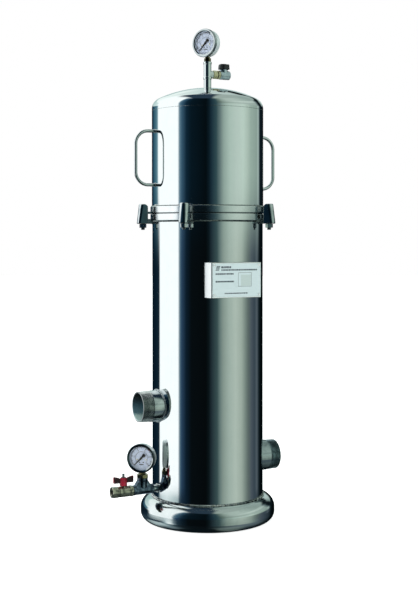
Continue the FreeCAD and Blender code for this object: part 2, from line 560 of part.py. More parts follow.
vn = fuse(cyl(5.0, 5.0, (6.5, 0, VENT_Z), (1, 0, 0)),
          hexnut(14.6, 9.4, (11.0, 0, VENT_Z), (1, 0, 0), 30),
          cyl(7.0, 1.4, (20.2, 0, VENT_Z), (1, 0, 0)),
          cyl(8.4, 5.3, (21.2, 0, VENT_Z), (1, 0, 0)),
          cyl(5.6, 3.6, (VENT_X0 - 0.5, 0, VENT_Z), (1, 0, 0)))
vn = one(vn.cut(cyl(3.0, 60, (0, 0, VENT_Z), (1, 0, 0))))
add("vent_nipple", vn)
sx = VENT_STEM_X
vb = fuse(cyl(VENT_R, VENT_X1 - VENT_X0 - 1.0, (VENT_X0, 0, VENT_Z), (1, 0, 0)),
          Part.makeCone(VENT_R, VENT_R - 1.0, 1.0, V(VENT_X1 - 1.0, 0, VENT_Z), V(1, 0, 0)),
          cyl(4.6, 11.6, (sx, 0, VENT_Z)))
vb = vb.cut(cyl(3.0, 60, (20, 0, VENT_Z), (1, 0, 0)))
vb = vb.cut(cyl(5.6, 3.1, (VENT_X0, 0, VENT_Z), (1, 0, 0)))
vb = vb.cut(cyl(MOUTH_R, 7.5, (VENT_X1, 0, VENT_Z), (-1, 0, 0)))
vb = vb.cut(Part.makeSphere(5.2, V(sx, 0, VENT_Z))).cut(cyl(2.05, 30, (sx, 0, VENT_Z)))
add("vent_valve_body", one(vb))
vball = Part.makeSphere(4.9, V(sx, 0, VENT_Z)).cut(cyl(3.0, 30, (sx - 15, 0, VENT_Z), (1, 0, 0)))
vball = vball.cut(box(sx - 2, sx + 2, -0.6, 0.6, VENT_Z + 3.8, VENT_Z + 8))
add("vent_valve_ball", one(vball))
vstem = fuse(cyl(2.0, 897.2 - VENT_Z - 5.0, (sx, 0, VENT_Z + 5.0)), box(sx - 1.6, sx + 1.6, -0.6, 0.6, VENT_Z + 3.8, VENT_Z + 5.2))
add("vent_valve_stem", vstem)
kz0 = VENT_Z + VENT_R + 2.6
kb = [(26.0, kz0), (46.6, kz0), (47.0, kz0 + 0.8), (46.4, 898.4), (45.4, 899.5), (28.4, 899.5), (27.0, 898.6), (25.6, kz0 + 0.8)]
vk = poly_xz(kb, -5.2, 5.2).fuse(cyl(7.2, 899.8 - kz0, (sx, 0, kz0)))
vk = vk.removeSplitter().cut(cyl(4.9, 1.4, (sx, 0, kz0 - 0.1))).cut(cyl(2.0, 40, (sx, 0, 870)))
vk = vk.cut(cyl(3.6, 3.0, (sx, 0, 897.2)))
add("vent_valve_knob", one(vk))
screw = cyl(3.4, 1.9, (sx, 0, 897.2)).cut(prism(6, 2.6, 2.0, (sx, 0, 897.9)))
add("vent_knob_screw", one(screw))

# ---------------------------------------------------------------- write
total = 0
for name, solids in nodes.items():
    for s in solids:
        if not s.isValid() or s.Volume <= 0:
            raise RuntimeError("bad solid in " + name)
        total += 1
    shape = solids[0] if len(solids) == 1 else Part.makeCompound(solids)
    shape.exportStep("parts/%s.step" % name)
print(len(nodes), "nodes", total, "solids")
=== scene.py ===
import bmesh
import bpy
import math
import random
from mathutils import Matrix, Vector


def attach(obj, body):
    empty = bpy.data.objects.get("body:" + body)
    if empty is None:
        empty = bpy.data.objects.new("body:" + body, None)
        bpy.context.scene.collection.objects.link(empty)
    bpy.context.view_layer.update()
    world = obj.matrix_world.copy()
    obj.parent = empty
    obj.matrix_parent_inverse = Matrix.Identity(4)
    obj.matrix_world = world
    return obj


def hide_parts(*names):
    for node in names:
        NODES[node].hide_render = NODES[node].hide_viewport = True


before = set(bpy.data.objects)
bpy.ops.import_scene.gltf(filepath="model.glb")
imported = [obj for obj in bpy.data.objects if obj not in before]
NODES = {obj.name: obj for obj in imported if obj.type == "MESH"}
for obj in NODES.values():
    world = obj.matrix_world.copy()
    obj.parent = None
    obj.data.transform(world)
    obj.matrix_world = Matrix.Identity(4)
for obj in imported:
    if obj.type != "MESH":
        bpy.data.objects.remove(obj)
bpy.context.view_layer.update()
MM = 0.001
PI2 = 2.0 * math.pi
rng = random.Random(20)


# ------------------------------------------------------------------ mesh tools
def ident():
    return Matrix.Identity(4)


def spin(psi):
    """Turn about the vessel axis, degrees from the front."""
    return Matrix.Rotation(math.radians(psi), 4, "Z")


def move(x, y, z):
    return Matrix.Translation((x, y, z))


def aim(origin, direction, turn=0.0):
    """Local Z along direction, at origin; local X stays level where it can."""
    d = Vector(direction).normalized()
    if abs(d.z) > 0.999:
        x = Vector((1, 0, 0))
    else:
        x = Vector((0, 0, 1)).cross(d).normalized()
    y = d.cross(x).normalized()
    x = y.cross(d).normalized()
    m = Matrix(((x.x, y.x, d.x, 0), (x.y, y.y, d.y, 0), (x.z, y.z, d.z, 0), (0, 0, 0, 1)))
    return Matrix.Translation(origin) @ m @ Matrix.Rotation(math.radians(turn), 4, "Z")


class Shape:
    """Closed surfaces in millimetres, gathered into one mesh."""

    def __init__(self):
        self.v = []
        self.f = []
        self.m = []

    def add(self, part, T=None, mat=0):
        vs, fs = part
        n = len(self.v)
        if T is None:
            self.v += [Vector(p) for p in vs]
        else:
            self.v += [T @ Vector(p) for p in vs]
        self.f += [tuple(n + i for i in f) for f in fs]
        self.m += [mat] * len(fs)
        return self

    def mesh(self, name):
        me = bpy.data.meshes.new(name)
        me.from_pydata([tuple(p * MM) for p in self.v], [], self.f)
        me.polygons.foreach_set("material_index", self.m)
        bm = bmesh.new()
        bm.from_mesh(me)
        bmesh.ops.remove_doubles(bm, verts=bm.verts, dist=1e-7)
        bmesh.ops.recalc_face_normals(bm, faces=bm.faces)
        bm.to_mesh(me)
        bm.free()
        me.update()
        return me


def rounded(pts, n=4, closed=True):
    """Polygon corners (x, y) or (x, y, radius) with the radii worked in."""
    out = []
    k = len(pts)
    for i, p in enumerate(pts):
        rad = p[2] if len(p) > 2 else 0.0
        P = Vector((p[0], p[1]))
        if rad <= 0 or (not closed and i in (0, k - 1)):
            out.append((P.x, P.y))
            continue
        A = Vector(pts[i - 1][:2])
        B = Vector(pts[(i + 1) % k][:2])
        d1, d2 = (A - P), (B - P)
        l1, l2 = d1.length, d2.length
        d1.normalize()
        d2.normalize()
        half = math.acos(max(-1, min(1, d1.dot(d2)))) / 2
        if half > math.pi / 2 - 0.02:
            out.append((P.x, P.y))
            continue
        t = min(rad / math.tan(half), 0.48 * min(l1, l2))
        rad = t * math.tan(half)
        C = P + (d1 + d2).normalized() * (rad / math.sin(half))
        a = P + d1 * t - C
        b = P + d2 * t - C
        ang = a.angle(b)
        for j in range(n + 1):
            s = j / n
            q = (a * math.sin((1 - s) * ang) + b * math.sin(s * ang)) / math.sin(ang)
            out.append((C.x + q.x, C.y + q.y))
    return out


def arc(cx, cy, r, a0, a1, n):
    return [(cx + r * math.cos(math.radians(a0 + (a1 - a0) * i / n)),
             cy + r * math.sin(math.radians(a0 + (a1 - a0) * i / n))) for i in range(n + 1)]


def lathe(profile, segs=96, closed=True):
    """(radius, height) points turned about Z."""
    v, rings, f = [], [], []
    for r, z in profile:
        if r < 1e-6:
            rings.append([len(v)])
            v.append((0, 0, z))
        else:
            rings.append(list(range(len(v), len(v) + segs)))
            v += [(r * math.cos(PI2 * i / segs), r * math.sin(PI2 * i / segs), z) for i in range(segs)]
    n = len(profile)
    for k in range(n if closed else n - 1):
        A, B = rings[k], rings[(k + 1) % n]
        if len(A) == 1 and len(B) == 1:
            continue
        for i in range(segs):
            j = (i + 1) % segs
            if len(A) == 1:
                f.append((A[0], B[j], B[i]))
            elif len(B) == 1:
                f.append((A[i], A[j], B[0]))
            else:
                f.append((A[i], A[j], B[j], B[i]))
    return v, f


def polar(stations, thetas, closed=True):
    """Stations (height, radius), each a number or a function of the angle in degrees, about Z."""
    v, rings, f = [], [], []
    m = len(thetas)
    for t, r in stations:
        if not callable(r) and r < 1e-6:
            rings.append([len(v)])
            v.append((0, 0, t))
            continue
        rings.append(list(range(len(v), len(v) + m)))
        for th in thetas:
            rr = r(th) if callable(r) else r
            tt = t(th) if callable(t) else t
            a = math.radians(th)
            v.append((rr * math.cos(a), rr * math.sin(a), tt))
    n = len(stations)
    for k in range(n if closed else n - 1):
        A, B = rings[k], rings[(k + 1) % n]
        if len(A) == 1 and len(B) == 1:
            continue
        for i in range(m):
            j = (i + 1) % m
            if len(A) == 1:
                f.append((A[0], B[j], B[i]))
            elif len(B) == 1:
                f.append((A[i], A[j], B[0]))
            else:
                f.append((A[i], A[j], B[j], B[i]))
    return v, f


def extrude(poly, h0, h1, inset=0.0):
    """Flat polygon in XY pulled along Z, its edges broken by a small inset at both ends."""
    n = len(poly)
    v, f = [], []

    def ring(z, d):
        s = len(v)
        for i in range(n):
            P = Vector(poly[i])
            A = Vector(poly[i - 1])
            B = Vector(poly[(i + 1) % n])
            e1 = (P - A)
            e2 = (B - P)
            if e1.length < 1e-9 or e2.length < 1e-9:
                v.append((P.x, P.y, z))
                continue
            e1.normalize()
            e2.normalize()
            n1 = Vector((-e1.y, e1.x))
            n2 = Vector((-e2.y, e2.x))
            b = n1 + n2
            if b.length < 1e-6:
                b = n1
            b = b / max(b.length_squared / 2, 0.5)
            v.append((P.x + b.x * d, P.y + b.y * d, z))
        return list(range(s, s + n))
    area = sum(poly[i - 1][0] * poly[i][1] - poly[i][0] * poly[i - 1][1] for i in range(n))
    s = 1.0 if area > 0 else -1.0
    if inset > 0:
        levels = [(h0, inset), (h0 + inset * 0.3, inset * 0.3), (h0 + inset, 0), (h1 - inset, 0),
                  (h1 - inset * 0.3, inset * 0.3), (h1, inset)]
    else:
        levels = [(h0, 0), (h1, 0)]
    rings = [ring(z, d * s) for z, d in levels]
    for a, b in zip(rings, rings[1:]):
        for i in range(n):
            j = (i + 1) % n
            f.append((a[i], a[j], b[j], b[i]))
    f.append(tuple(reversed(rings[0])))
    f.append(tuple(rings[-1]))
    return v, f


def sweep(points, radius, segs=12, closed=False, caps=True, squash=1.0, up=None):
    """Round section along points; radius is a number or a function of (index, angle)."""
    P = [Vector(p) for p in points]
    n = len(P)
    tang = []
    for i in range(n):
        if closed:
            t = P[(i + 1) % n] - P[i - 1]
        else:
            t = P[min(i + 1, n - 1)] - P[max(i - 1, 0)]
        tang.append(t.normalized())
    if up is None:
        up = Vector((0, 0, 1)) if abs(tang[0].z) < 0.9 else Vector((1, 0, 0))
    else:
        up = Vector(up)
    x = (up - tang[0] * up.dot(tang[0])).normalized()
    v, f, rings = [], [], []
    for i in range(n):
        x = (x - tang[i] * x.dot(tang[i])).normalized()
        y = tang[i].cross(x)
        rings.append(list(range(len(v), len(v) + segs)))
        for k in range(segs):
            a = PI2 * k / segs
            r = radius(i, a) if callable(radius) else radius
            q = P[i] + x * (r * math.cos(a)) + y * (r * math.sin(a) * squash)
            v.append(tuple(q))
    for i in range(n if closed else n - 1):
        A, B = rings[i], rings[(i + 1) % n]
        for k in range(segs):
            j = (k + 1) % segs
            f.append((A[k], A[j], B[j], B[k]))
    if not closed and caps:
        f.append(tuple(reversed(rings[0])))
        f.append(tuple(rings[-1]))
    return v, f


def hex_thetas(turn=0.0):
    out = []
    for k in range(6):
        c = 60.0 * k
        for d in (-2.6, -1.3, -0.45, 0.45, 1.3, 2.6, 7, 12, 18, 24, 30, 36, 42, 48, 53):
            out.append((c + d + turn) % 360.0)
    return sorted(out)


def hexr(af, turn=0.0, cap=None, rho=0.45):
    """Radius of a hexagon with rounded corners, limited by a cone of radius cap."""
    rc = af / 2 / math.cos(math.pi / 6)
    d = rc - rho / math.cos(math.pi / 6)

    def r(th):
        a = (th - turn) % 60.0
        phi = math.radians(min(a, 60 - a))
        flat = af / 2 / math.cos(math.pi / 6 - phi)
        s = rho * rho - (d * math.sin(phi)) ** 2
        if s > 0:
            flat = min(flat, d * math.cos(phi) + math.sqrt(s))
        return min(flat, cap) if cap else flat
    return r


def hex_outer(af, h0, h1, turn=0.0, lo=True, hi=True, rho=0.45):
    """Outer stations of a chamfered hexagon from height h0 to h1."""
    rc = af / 2 / math.cos(math.pi / 6)
    face = af / 2 * 0.975
    c = (rc - face) * 0.52
    st = []
    if lo:
        st.append((h0, face))
        for s in (0.2, 0.4, 0.6, 0.8, 1.0):
            st.append((h0 + c * s, hexr(af, turn, face + (rc - face) * s, rho)))
    else:
        st += [(h0, hexr(af, turn, rc - 0.15, rho)), (h0 + 0.15, hexr(af, turn, None, rho))]
    if hi:
        for s in (1.0, 0.8, 0.6, 0.4, 0.2):
            st.append((h1 - c * s, hexr(af, turn, face + (rc - face) * s, rho)))
        st.append((h1, face))
    else:
        st += [(h1 - 0.15, hexr(af, turn, None, rho)), (h1, hexr(af, turn, rc - 0.15, rho))]
    return st


def threadr(crest, root, pitch, t, lead=0.0, fade=1.0):
    """Radius of a screw thread at height t as a function of the angle."""
    def r(th):
        p = (t / pitch - th / 360.0 + lead) % 1.0
        tri = 1 - abs(2 * p - 1)
        s = max(0.0, min(1.0, (tri - 0.14) / 0.7))
        return root + (crest - root) * s * fade
    return r


def solid_of(me):
    """Temporary object for modifiers that are worked into the mesh."""
    o = bpy.data.objects.new("tmp", me)
    bpy.context.scene.collection.objects.link(o)
    return o


def baked(o):
    dg = bpy.context.evaluated_depsgraph_get()
    me = bpy.data.meshes.new_from_object(o.evaluated_get(dg))
    bpy.data.objects.remove(o)
    return me


def melted(shape, voxel, smooth=4, name="melt"):
    """Overlapping solids run together as in a casting."""
    o = solid_of(shape.mesh(name))
    r = o.modifiers.new("remesh", "REMESH")
    r.mode = "VOXEL"
    r.voxel_size = voxel * MM
    s = o.modifiers.new("smooth", "SMOOTH")
    s.factor = 0.5
    s.iterations = smooth
    return baked(o)


def cut(me, tools, op="DIFFERENCE"):
    o = solid_of(me)
    ts = []
    for t in tools:
        to = solid_of(t)
        m = o.modifiers.new("cut", "BOOLEAN")
        m.operation = op
        m.solver = "EXACT"
        m.object = to
        ts.append(to)
    res = baked(o)
    for t in ts:
        bpy.data.objects.remove(t)
    return res


def joined(meshes, name):
    bm = bmesh.new()
    for me in meshes:
        bm.from_mesh(me)
    out = bpy.data.meshes.new(name)
    bm.to_mesh(out)
    bm.free()
    return out


def turned_copy(me, T):
    c = me.copy()
    S = Matrix.Scale(MM, 4)
    c.transform(S @ T @ S.inverted())
    return c


def piece(name, me, mats, body, repl=(), sharp=34.0, bevel=0.0, weighted=True, segs=2, normals=False):
    if isinstance(me, Shape):
        me = me.mesh(name)
    if not isinstance(mats, (list, tuple)):
        mats = [mats]
    me.name = name
    idx = [0] * len(me.polygons)
    me.polygons.foreach_get("material_index", idx)
    me.materials.clear()
    for m in mats:
        me.materials.append(m)
    me.polygons.foreach_set("material_index", [min(i, len(mats) - 1) for i in idx])
    o = bpy.data.objects.new(name, me)
    bpy.context.scene.collection.objects.link(o)
    if not normals:
        me.shade_smooth()
        me.set_sharp_from_angle(angle=math.radians(sharp))
    if bevel > 0:
        b = o.modifiers.new("edges", "BEVEL")
        b.width = bevel * MM
        b.segments = segs
        b.limit_method = "ANGLE"
        b.angle_limit = math.radians(28)
        b.harden_normals = False
        b.use_clamp_overlap = True
        me.set_sharp_from_angle(angle=math.radians(80))
    if weighted and not normals:
        w = o.modifiers.new("normals", "WEIGHTED_NORMAL")
        w.keep_sharp = True
        w.weight = 60
    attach(o, body)
    if repl:
        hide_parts(*repl)
    return o


# ------------------------------------------------------------------ colours
def lin(h, k=1.0):
    """Hex colour to linear light."""
    out = []
    for i in (0, 2, 4):
        c = int(h[i:i + 2], 16) / 255.0
        out.append(k * (c / 12.92 if c <= 0.04045 else ((c + 0.055) / 1.055) ** 2.4))
    return tuple(out) + (1.0,)


# ------------------------------------------------------------------ materials
class Mat:
    def __init__(self, name):
        self.m = bpy.data.materials.new(name)
        self.m.use_nodes = True
        self.nt = self.m.node_tree
        self.nt.nodes.clear()
        self.out = self.n("ShaderNodeOutputMaterial")
        self.b = self.n("ShaderNodeBsdfPrincipled")
        self.l(self.b.outputs[0], self.out.inputs[0])
        tc = self.n("ShaderNodeTexCoord")
        self.obj = tc.outputs["Object"]
        self.normal = None

    def n(self, kind, **kw):
        nd = self.nt.nodes.new(kind)
        for k, v in kw.items():
            setattr(nd, k, v)
        return nd

    def l(self, a, b):
        self.nt.links.new(a, b)

    def put(self, sock, v):
        if isinstance(v, bpy.types.NodeSocket):
            self.l(v, sock)
        else:
            sock.default_value = v

    def math(self, op, a, b=0.0, c=0.0, clamp=False):
        nd = self.n("ShaderNodeMath", operation=op, use_clamp=clamp)
        self.put(nd.inputs[0], a)
        self.put(nd.inputs[1], b)
        self.put(nd.inputs[2], c)
        return nd.outputs[0]

    def scale(self, s, vec=None):
        nd = self.n("ShaderNodeMapping")
        self.l(vec or self.obj, nd.inputs["Vector"])
        nd.inputs["Scale"].default_value = s
        return nd.outputs[0]

    def noise(self, scale, detail=3.0, rough=0.5, vec=None, dist=0.0):
        nd = self.n("ShaderNodeTexNoise")
        self.l(vec or self.obj, nd.inputs["Vector"])
        nd.inputs["Scale"].default_value = scale
        nd.inputs["Detail"].default_value = detail
        nd.inputs["Roughness"].default_value = rough
        nd.inputs["Distortion"].default_value = dist
        return nd.outputs["Fac"]

    def voronoi(self, scale, vec=None, feature="F1", out="Distance"):
        nd = self.n("ShaderNodeTexVoronoi", feature=feature)
        self.l(vec or self.obj, nd.inputs["Vector"])
        nd.inputs["Scale"].default_value = scale
        return nd.outputs[out]

    def rng(self, v, a, b, c, d, smooth=False):
        nd = self.n("ShaderNodeMapRange", clamp=True)
        if smooth:
            nd.interpolation_type = "SMOOTHSTEP"
        self.put(nd.inputs["Value"], v)
        for k, x in zip(("From Min", "From Max", "To Min", "To Max"), (a, b, c, d)):
            nd.inputs[k].default_value = x
        return nd.outputs["Result"]

    def ramp(self, v, stops, interp="LINEAR"):
        nd = self.n("ShaderNodeValToRGB")
        nd.color_ramp.interpolation = interp
        el = nd.color_ramp.elements
        while len(el) > 1:
            el.remove(el[-1])
        el[0].position, el[0].color = stops[0]
        for p, c in stops[1:]:
            e = el.new(p)
            e.color = c
        self.put(nd.inputs[0], v)
        return nd.outputs[0]

    def mix(self, f, a, b, blend="MIX"):
        nd = self.n("ShaderNodeMix", data_type="RGBA", blend_type=blend)
        self.put(nd.inputs[0], f)
        self.put(nd.inputs[6], a)
        self.put(nd.inputs[7], b)
        return nd.outputs[2]

    def bump(self, height, strength=0.3, dist=0.001):
        nd = self.n("ShaderNodeBump")
        nd.inputs["Strength"].default_value = strength
        nd.inputs["Distance"].default_value = dist
        self.l(height, nd.inputs["Height"])
        if self.normal is not None:
            self.l(self.normal, nd.inputs["Normal"])
        self.normal = nd.outputs[0]
        self.l(self.normal, self.b.inputs["Normal"])

    def sep(self, vec=None):
        nd = self.n("ShaderNodeSeparateXYZ")
        self.l(vec or self.obj, nd.inputs[0])
        return nd.outputs

    def set(self, **kw):
        names = {"color": "Base Color", "metallic": "Metallic", "rough": "Roughness", "ior": "IOR", "coat": "Coat Weight",
                 "coat_rough": "Coat Roughness", "spec": "Specular IOR Level", "trans": "Transmission Weight",
                 "aniso": "Anisotropic", "alpha": "Alpha", "sss": "Subsurface Weight"}
        for k, v in kw.items():
            self.put(self.b.inputs[names[k]], v)
        return self


def steel(name, tint="dfe2e2", dark="c4c9ca", r0=0.05, r1=0.12, wave=0.5, grain=0.15, lines=None, spots=0.3, metal=1.0):
    """Stainless steel: soft waviness of the sheet, polishing lines, faint handling marks."""
    m = Mat(name)
    big = m.noise(9.0, 2.0, 0.5)
    smudge = m.noise(38.0, 5.0, 0.62, dist=0.6)
    fine = m.noise(1.0, 3.0, 0.6, vec=m.scale(lines or (260.0, 260.0, 9.0)))
    specks = m.noise(900.0, 2.0, 0.5)
    f = m.rng(smudge, 0.35, 0.72, 0.0, 1.0, True)
    col = m.mix(m.math("MULTIPLY", f, spots), lin(tint), lin(dark))
    col = m.mix(m.rng(fine, 0.3, 0.7, 0.0, 0.16), col, lin(dark))
    ro = m.rng(m.math("ADD", m.math("MULTIPLY", smudge, 0.6), m.math("MULTIPLY", fine, 0.4)), 0.3, 0.7, r0, r1)
    m.set(color=col, metallic=metal, rough=ro)
    if wave > 0:
        m.bump(big, wave, 0.0006)
    m.bump(fine, grain, 0.00008)
    m.bump(specks, grain * 0.25, 0.00002)
    return m.m


M_BODY = steel("polished_shell_steel", "eceff0", "dde2e3", 0.03, 0.065, wave=0.22, grain=0.05, spots=0.2)
M_FOOT = steel("polished_foot_steel", "e2e7e7", "c2cacc", 0.06, 0.14, wave=0.6, grain=0.22, lines=(30.0, 30.0, 420.0))
M_ROD = steel("handle_rod_steel", "e9eded", "cdd3d5", 0.03, 0.08, wave=0.15, grain=0.12, lines=(500.0, 500.0, 14.0))
M_BAND = steel("turned_band_steel", "f4f6f7", "d8dee0", 0.12, 0.22, wave=0.1, grain=0.4, lines=(18.0, 18.0, 1600.0))
# darker steel for the faces inside the closing gaps: painted shade
M_GROOVE = steel("closure_gap_painted_shade_steel", "868d8f", "5f6769", 0.2, 0.36, wave=0.1, grain=0.3, lines=(18.0, 18.0, 900.0))
M_NOZ = steel("nozzle_pipe_steel", "d5dbdc", "98a2a6", 0.05, 0.13, wave=0.5, grain=0.22, lines=(1100.0, 40.0, 40.0), spots=0.8)
# darker copy of the nozzle steel for the outlet pipe: painted shade
M_NOZ_OUT = steel("outlet_pipe_painted_shade_steel", "b7c1c4", "7f8b90", 0.05, 0.13, wave=0.5, grain=0.22, lines=(1100.0, 40.0, 40.0), spots=0.8)
M_THREAD = steel("thread_cut_steel", "cfd3d1", "8b9292", 0.10, 0.24, wave=0.5, grain=0.4, lines=(900.0, 60.0, 60.0), spots=1.0)
# darker copy of the thread steel for the outlet: painted shade
M_THREAD_OUT = steel("outlet_thread_cut_painted_shade_steel", "a6b7bd", "56666b", 0.10, 0.24, wave=0.5, grain=0.4, lines=(900.0, 60.0, 60.0), spots=1.0)
M_CHROME = steel("bright_fitting_steel", "e8ecec", "cdd4d6", 0.03, 0.08, wave=0.25, grain=0.12)
M_GAUGE = steel("gauge_case_steel", "c9cfd1", "a3acb0", 0.035, 0.09, wave=0.0, grain=0.16, lines=(700.0, 700.0, 700.0))
M_RIM = steel("nozzle_end_face_steel", "fbfcfc", "e3e8e9", 0.34, 0.48, wave=0.1, grain=0.3, lines=(60.0, 900.0, 900.0))
M_CASE = steel("gauge_shell_satin_steel", "e6f0f0", "c0cccf", 0.38, 0.52, wave=0.0, grain=0.2, lines=(700.0, 700.0, 700.0), metal=0.55)
# darker steel for the flat gauge back: painted shade
M_BACK = steel("gauge_back_painted_shade_steel", "8b979b", "6c787c", 0.24, 0.38, wave=0.0, grain=0.2, lines=(700.0, 700.0, 700.0))
# near-white rough steel for the claws' shaded inner side: painted light
M_INSIDE = steel("claw_blasted_inside_painted_light", "fcfdfd", "eef2f2", 0.72, 0.88, wave=0.1, grain=0.4, lines=(900.0, 900.0, 900.0))
M_CLAW = steel("claw_polished_casting", "e2e7e8", "98a2a7", 0.06, 0.15, wave=0.9, grain=0.35, lines=(240.0, 240.0, 240.0), spots=0.7)
M_SHEET = steel("bracket_brushed_sheet", "fdfefe", "f6f8f8", 0.3, 0.42, wave=0.1, grain=0.25, lines=(40.0, 40.0, 1500.0), metal=0.7)


def bore(name, zc):
    """Pickled inside of a nozzle, its colour graded by height: painted light along its bottom, painted shade darker
    towards the top.
    """
    m = Mat(name)
    g = m.noise(260.0, 4.0, 0.65, dist=0.4)
    geo = m.n("ShaderNodeNewGeometry")
    sep = m.n("ShaderNodeSeparateXYZ")
    m.l(geo.outputs["Position"], sep.inputs[0])
    h = m.math("ADD", m.rng(sep.outputs[2], (zc - 27.0) / 1000.0, (zc + 27.0) / 1000.0, 0.0, 1.0), m.rng(g, 0.3, 0.7, -0.05, 0.05))
    # colour by height in the bore: painted light low down, painted shade higher up
    col = m.ramp(h, [(0.0, lin("d8f4ee")), (0.14, lin("c6e6e0")), (0.23, lin("6a8f9a")), (0.48, lin("40616e")), (0.64, lin("203640")),
                     (0.82, lin("0b151a"))])
    m.set(color=col, metallic=0.25, rough=m.rng(g, 0.3, 0.7, 0.4, 0.6))
    m.bump(g, 0.3, 0.0001)
    return m.m


M_BORE_IN = bore("inlet_bore_pickled_painted_light", 229.2)
M_BORE_OUT = bore("outlet_bore_pickled_painted_light", 114.6)


def weld(name):
    """Brushed off weld bead: rippled, dark scale in patches, painted shade darkening its hollows, slightly straw
    coloured at its toes.
    """
    m = Mat(name)
    a = m.noise(160.0, 4.0, 0.6)
    b = m.noise(1500.0, 3.0, 0.6)
    d = m.noise(420.0, 3.0, 0.7)
    ao = m.n("ShaderNodeAmbientOcclusion", samples=6)
    ao.inputs["Distance"].default_value = 0.0025
    col = m.ramp(a, [(0.30, lin("8d9598")), (0.48, lin("d5dadb")), (0.60, lin("dcdcd6")), (0.75, lin("a3aaad"))])
    col = m.mix(m.rng(d, 0.50, 0.64, 0.0, 0.9, True), col, lin("1c2123"))
    # painted shade: darkened towards near-black in the hollows and at the toes, by ambient occlusion
    col = m.mix(m.rng(ao.outputs["AO"], 0.3, 0.7, 0.85, 0.0), col, lin("15191a"))
    m.set(color=col, metallic=1.0, rough=m.rng(b, 0.3, 0.7, 0.10, 0.26))
    m.bump(a, 0.5, 0.0004)
    m.bump(b, 0.4, 0.0001)
    return m.m


M_WELD = weld("weld_bead_steel")


def bright_weld():
    """Weld bead flushed smooth and polished with the pipe."""
    m = Mat("weld_bead_polished")
    a = m.noise(160.0, 4.0, 0.6)
    d = m.noise(700.0, 3.0, 0.7)
    col = m.mix(m.rng(a, 0.3, 0.7, 0.0, 1.0), lin("dfe4e5"), lin("aab2b6"))
    col = m.mix(m.rng(d, 0.56, 0.7, 0.0, 0.6, True), col, lin("4a5255"))
    m.set(color=col, metallic=1.0, rough=m.rng(d, 0.3, 0.7, 0.09, 0.22))
    m.bump(d, 0.35, 0.0001)
    return m.m


M_WELD_BRIGHT = bright_weld()


def tinted_weld():
    """Narrow closure bead, heat tinted, its colour darkened as painted shade along the band's edges."""
    m = Mat("weld_bead_tinted_painted_shade")
    a = m.noise(240.0, 4.0, 0.7)
    d = m.noise(1200.0, 3.0, 0.7)
    # darker ramp than the other beads: painted shade along the bands
    col = m.ramp(a, [(0.32, lin("6a7274")), (0.50, lin("959c9c")), (0.62, lin("a5a89e")), (0.74, lin("5f676a"))])
    m.set(color=col, metallic=1.0, rough=m.rng(d, 0.3, 0.7, 0.18, 0.36))
    m.bump(d, 0.5, 0.0001)
    return m.m


M_WELD_DARK = tinted_weld()


def cast(name, c0, c1, c2, r0, r1, grit=0.6):
    """Investment casting: fine sandy skin, with painted shade darkening its hollows."""
    m = Mat(name)
    g = m.noise(1300.0, 4.0, 0.65)
    p = m.noise(110.0, 4.0, 0.6)
    pits = m.voronoi(900.0)
    ao = m.n("ShaderNodeAmbientOcclusion", samples=6)
    ao.inputs["Distance"].default_value = 0.004
    col = m.ramp(p, [(0.32, lin(c0)), (0.52, lin(c1)), (0.72, lin(c2))])
    col = m.mix(m.rng(g, 0.35, 0.65, 0.0, 0.3), col, lin(c0))
    # painted shade: darkened in hollows and corners, by ambient occlusion
    col = m.mix(m.rng(ao.outputs["AO"], 0.35, 0.9, 0.55, 0.0), col, lin("1c2022"))
    m.set(color=col, metallic=1.0, rough=m.rng(g, 0.3, 0.7, r0, r1))
    m.bump(p, 0.35, 0.0005)
    m.bump(g, grit, 0.00012)
    m.bump(m.rng(pits, 0.0, 0.35, 0.0, 1.0), grit * 0.4, 0.00008)
    return m.m


M_TEE = cast("tee_casting_steel", "323d49", "66788a", "a9bccb", 0.13, 0.3, 0.9)
M_LUG = cast("lug_steel", "c9cfd1", "dde2e3", "eef1f1", 0.3, 0.45, 0.25)


def turned(name, c0, c1, r0, r1, lines, tarnish="3a2c18", amount=0.25):
    """Bar metal turned on a lathe: fine tool marks, tone varying in patches, painted shade darkening its hollows."""
    m = Mat(name)
    t = m.noise(1.0, 2.0, 0.5, vec=m.scale(lines))
    p = m.noise(140.0, 4.0, 0.6, dist=0.5)
    ao = m.n("ShaderNodeAmbientOcclusion", samples=6)
    ao.inputs["Distance"].default_value = 0.003
    col = m.mix(m.rng(p, 0.38, 0.68, 0.0, 1.0, True), lin(c0), lin(c1))
    # painted shade: hollows and corners darkened towards a dark colour, by ambient occlusion
    col = m.mix(m.rng(ao.outputs["AO"], 0.4, 0.95, amount, 0.0), col, lin(tarnish))
    m.set(color=col, metallic=1.0, rough=m.rng(m.math("ADD", t, p), 0.7, 1.3, r0, r1))
    m.bump(t, 0.3, 0.00006)
    m.bump(p, 0.15, 0.0002)
    return m.m


M_NUT = turned("nut_steel", "dde1e2", "b3babd", 0.08, 0.2, (900.0, 900.0, 900.0), "15181a", 0.5)
M_STUD = turned("stud_steel", "d0d6d8", "a4acb0", 0.22, 0.36, (60.0, 60.0, 1500.0), "101214", 0.6)
M_BRASS = turned("brass_bushing", "b3aa80", "5d5739", 0.10, 0.24, (900.0, 900.0, 300.0), "14120a", 0.85)
M_BRASS_DARK = turned("dark_brass_stem", "857d5c", "48432c", 0.16, 0.3, (600.0, 600.0, 600.0), "12100a", 0.7)
M_VALVE = turned("valve_body_plating", "bfbca8", "63655a", 0.07, 0.2, (1400.0, 300.0, 300.0), "0d0e0a", 0.9)
M_NICKEL = turned("nickel_plated_brass", "e0d7b4", "b5aa82", 0.07, 0.18, (1400.0, 300.0, 300.0), "201c10", 0.6)
M_VENT = turned("vent_valve_plating", "d3e0e8", "b4c4d0", 0.24, 0.38, (1400.0, 300.0, 300.0), "1c2228", 0.45)
M_INNER = turned("inner_steel", "b5bbbd", "8d9599", 0.25, 0.42, (300.0, 300.0, 300.0), "15181a", 0.4)


